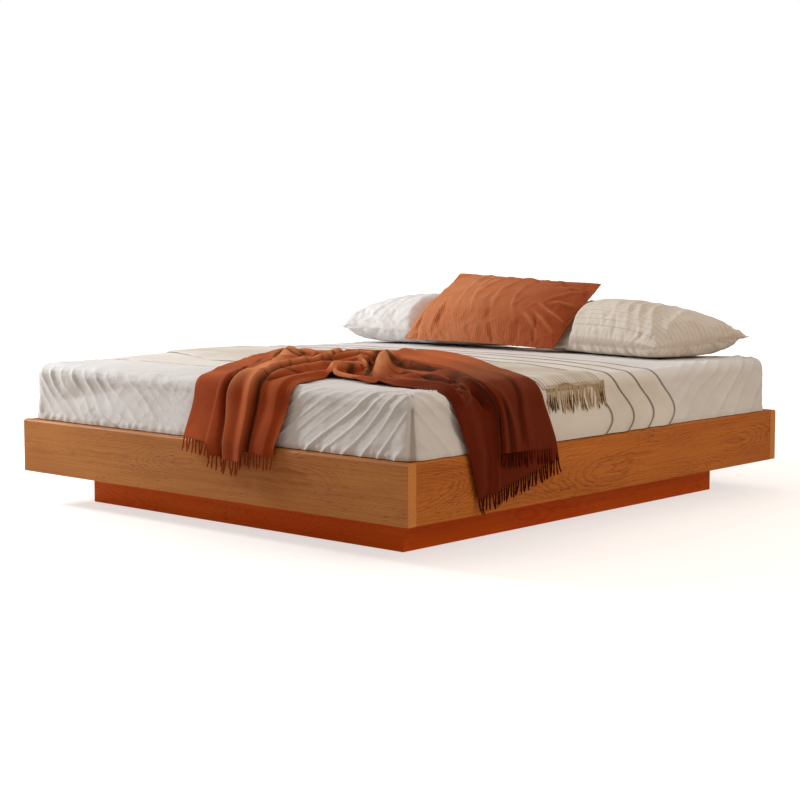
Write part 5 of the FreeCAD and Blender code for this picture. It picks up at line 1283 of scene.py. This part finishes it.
pillow_cloth = cloth_finish("pillow_cotton", colour(240, 238, 238), colour(230, 227, 226), 1500.0, 0.00025,
                            crease=0.0026)
striped_cloth = cloth_finish("striped_pillow_cotton", colour(226, 217, 206), colour(214, 203, 190), 1500.0,
                             0.00025, crease=0.0026)
tree = striped_cloth.node_tree
stripe = math_node(tree, "FRACT", math_node(tree, "MULTIPLY", stored_part(tree, "case", 1), 11.0))
stripe = ramp(tree, stripe, (0.0, 1.0), (0.10, 0.0), (0.90, 0.0), (1.0, 1.0))
cross = math_node(tree, "FRACT", math_node(tree, "MULTIPLY", stored_part(tree, "case", 0), 8.0))
cross = ramp(tree, cross, (0.0, 0.6), (0.05, 0.0), (0.95, 0.0), (1.0, 0.6))
lines = math_node(tree, "MULTIPLY", math_node(tree, "MAXIMUM", stripe, cross), 0.40)
lay_over(striped_cloth, lines, colour(146, 122, 100))
# Each pillow: its name, its corners near left, near right, far left and far right, how far its
# sides are drawn in, its loft, its cloth and its folds
PILLOWS = (
    ("left", ((-0.870, 0.522, 0.588), (-0.060, 0.740, 0.565), (-0.850, 0.965, 0.600),
              (-0.075, 1.015, 0.615)),
     (0.040, 0.055), 0.118, pillow_cloth,
     ((0.014, 0.010, ((-0.36, -0.17, 0.004), (-0.29, -0.10, 0.008), (-0.22, 0.00, 0.006),
                      (-0.17, 0.08, 0.002))),
      (0.012, 0.009, ((-0.26, -0.18, 0.004), (-0.22, -0.11, 0.008), (-0.18, -0.02, 0.006),
                      (-0.15, 0.06, 0.002))),
      (0.012, 0.009, ((-0.18, -0.18, 0.004), (-0.16, -0.10, 0.007), (-0.13, -0.02, 0.005))),
      (0.012, 0.009, ((-0.10, -0.19, 0.003), (-0.08, -0.11, 0.006), (-0.07, -0.03, 0.004))))),
    ("right", ((0.040, 0.650, 0.570), (0.706, 0.584, 0.556), (0.050, 1.015, 0.620),
               (0.876, 0.983, 0.590)),
     (0.020, 0.035), 0.122, striped_cloth,
     ((0.013, 0.009, ((0.34, -0.18, 0.006), (0.27, -0.12, 0.010), (0.21, -0.05, 0.009),
                      (0.17, 0.03, 0.003))),
      (0.012, 0.008, ((0.28, -0.19, 0.005), (0.22, -0.14, 0.009), (0.15, -0.06, 0.008),
                      (0.12, 0.01, 0.003))),
      (0.012, 0.009, ((0.21, -0.19, 0.004), (0.14, -0.12, 0.007), (0.09, -0.04, 0.006),
                      (0.07, 0.03, 0.002))),
      (0.012, 0.009, ((0.36, -0.12, 0.005), (0.31, -0.04, 0.007), (0.27, 0.05, 0.003))),
      (0.012, 0.009, ((0.12, -0.19, 0.003), (0.06, -0.11, 0.006), (0.02, -0.03, 0.004))))))
for name, corners, draw_in, loft, cloth, fold_table in PILLOWS:
    points, faces, rim, own = case_shape(corners, draw_in, loft, loft * 0.75, 0.42, 0.10)
    pillow = mesh_piece("feather_pillow_" + name, points, faces, cloth, attributes={"case": own})
    stuff(pillow, rim, 0.4)
    gather(pillow, fold_table, 61 + len(name), 0.0055, (0.40, 0.21))
    write_points(pillow.data, press(read_vectors(pillow.data.vertices, "co")))
    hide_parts("pillow_" + name)
    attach(pillow, "deck")

# Stage: a plain pale floor, soft light from a large window on the left, from above and from the
# right, and the camera at the photograph's place. None of it is part of the bed. The camera sees
# the floor lit up to white, more so the further it lies from the bed.
FLOOR_HALF = 60


def for_camera(tree, plain, seen):
    """One shader for the light in the scene, and another for what the camera sees directly."""
    ray = node(tree, "ShaderNodeLightPath").outputs["Is Camera Ray"]
    return node(tree, "ShaderNodeMixShader", {0: ray, 1: plain, 2: seen}).outputs[0]


floor_finish, tree, shader = new_finish("pale_floor", Roughness=0.9, Specular_IOR_Level=0.1)
shader.inputs["Base Color"].default_value = (0.62, 0.56, 0.50, 1)
away = length_of(tree, own_place(tree))
glow = ramp(tree, math_node(tree, "MULTIPLY", away, 0.2), (0.25, 0.62), (0.75, 1.0))
lit = node(tree, "ShaderNodeEmission", {"Color": (1, 1, 1, 1), "Strength": glow}).outputs[0]
brighter = node(tree, "ShaderNodeAddShader", {0: shader.outputs[0], 1: lit}).outputs[0]
shown = for_camera(tree, shader.outputs[0], brighter)
tree.links.new(shown, tree.nodes["Material Output"].inputs["Surface"])
floor_corners = [(x * FLOOR_HALF, y * FLOOR_HALF, 0.0) for x, y in ((-1, -1), (1, -1), (1, 1), (-1, 1))]
floor = mesh_piece("stage_floor", np.array(floor_corners), np.array([(0, 1, 2, 3)]), floor_finish)

world = bpy.data.worlds.new("studio")
bpy.context.scene.world = world
world.use_nodes = True
tree = world.node_tree
room = tree.nodes["Background"]
room.inputs["Color"].default_value = (1.0, 0.86, 0.74, 1)
room.inputs["Strength"].default_value = 0.38
white = node(tree, "ShaderNodeBackground", {"Color": (1, 1, 1, 1), "Strength": 1.0}).outputs[0]
tree.links.new(for_camera(tree, room.outputs[0], white), tree.nodes["World Output"].inputs["Surface"])


def area_light(name, place, target, size, power, tint):
    """A square soft light at a place, turned to its target."""
    lamp = bpy.data.lights.new(name, "AREA")
    lamp.shape = "SQUARE"
    lamp.size = size
    lamp.energy = power
    lamp.color = tint
    piece = bpy.data.objects.new(name, lamp)
    piece.location = place
    piece.rotation_euler = (Vector(target) - Vector(place)).to_track_quat("-Z", "Y").to_euler()
    bpy.context.scene.collection.objects.link(piece)


area_light("window_light", (-3.4, -1.9, 2.1), (-0.1, -0.3, 0.4), 0.9, 122, (0.91, 0.96, 1.0))
area_light("ceiling_light", (-0.3, 0.4, 3.6), (0.0, 0.1, 0.4), 2.6, 30, (0.94, 0.97, 1.0))
area_light("room_fill", (4.2, 0.2, 2.5), (0.6, 0.0, 0.3), 2.4, 41, (1.0, 0.85, 0.68))

camera_data = bpy.data.cameras.new("camera")
camera_data.lens = 77.046
camera_data.sensor_width = 36.0
camera_data.clip_end = 200
camera = bpy.data.objects.new("camera", camera_data)
camera.location = (4.24075, -4.78198, 0.97627)
camera.rotation_euler = (math.radians(90 - 5.50317), 0, math.radians(41.8809))
bpy.context.scene.collection.objects.link(camera)
bpy.context.scene.camera = camera
bpy.context.scene.view_settings.view_transform = "Standard"
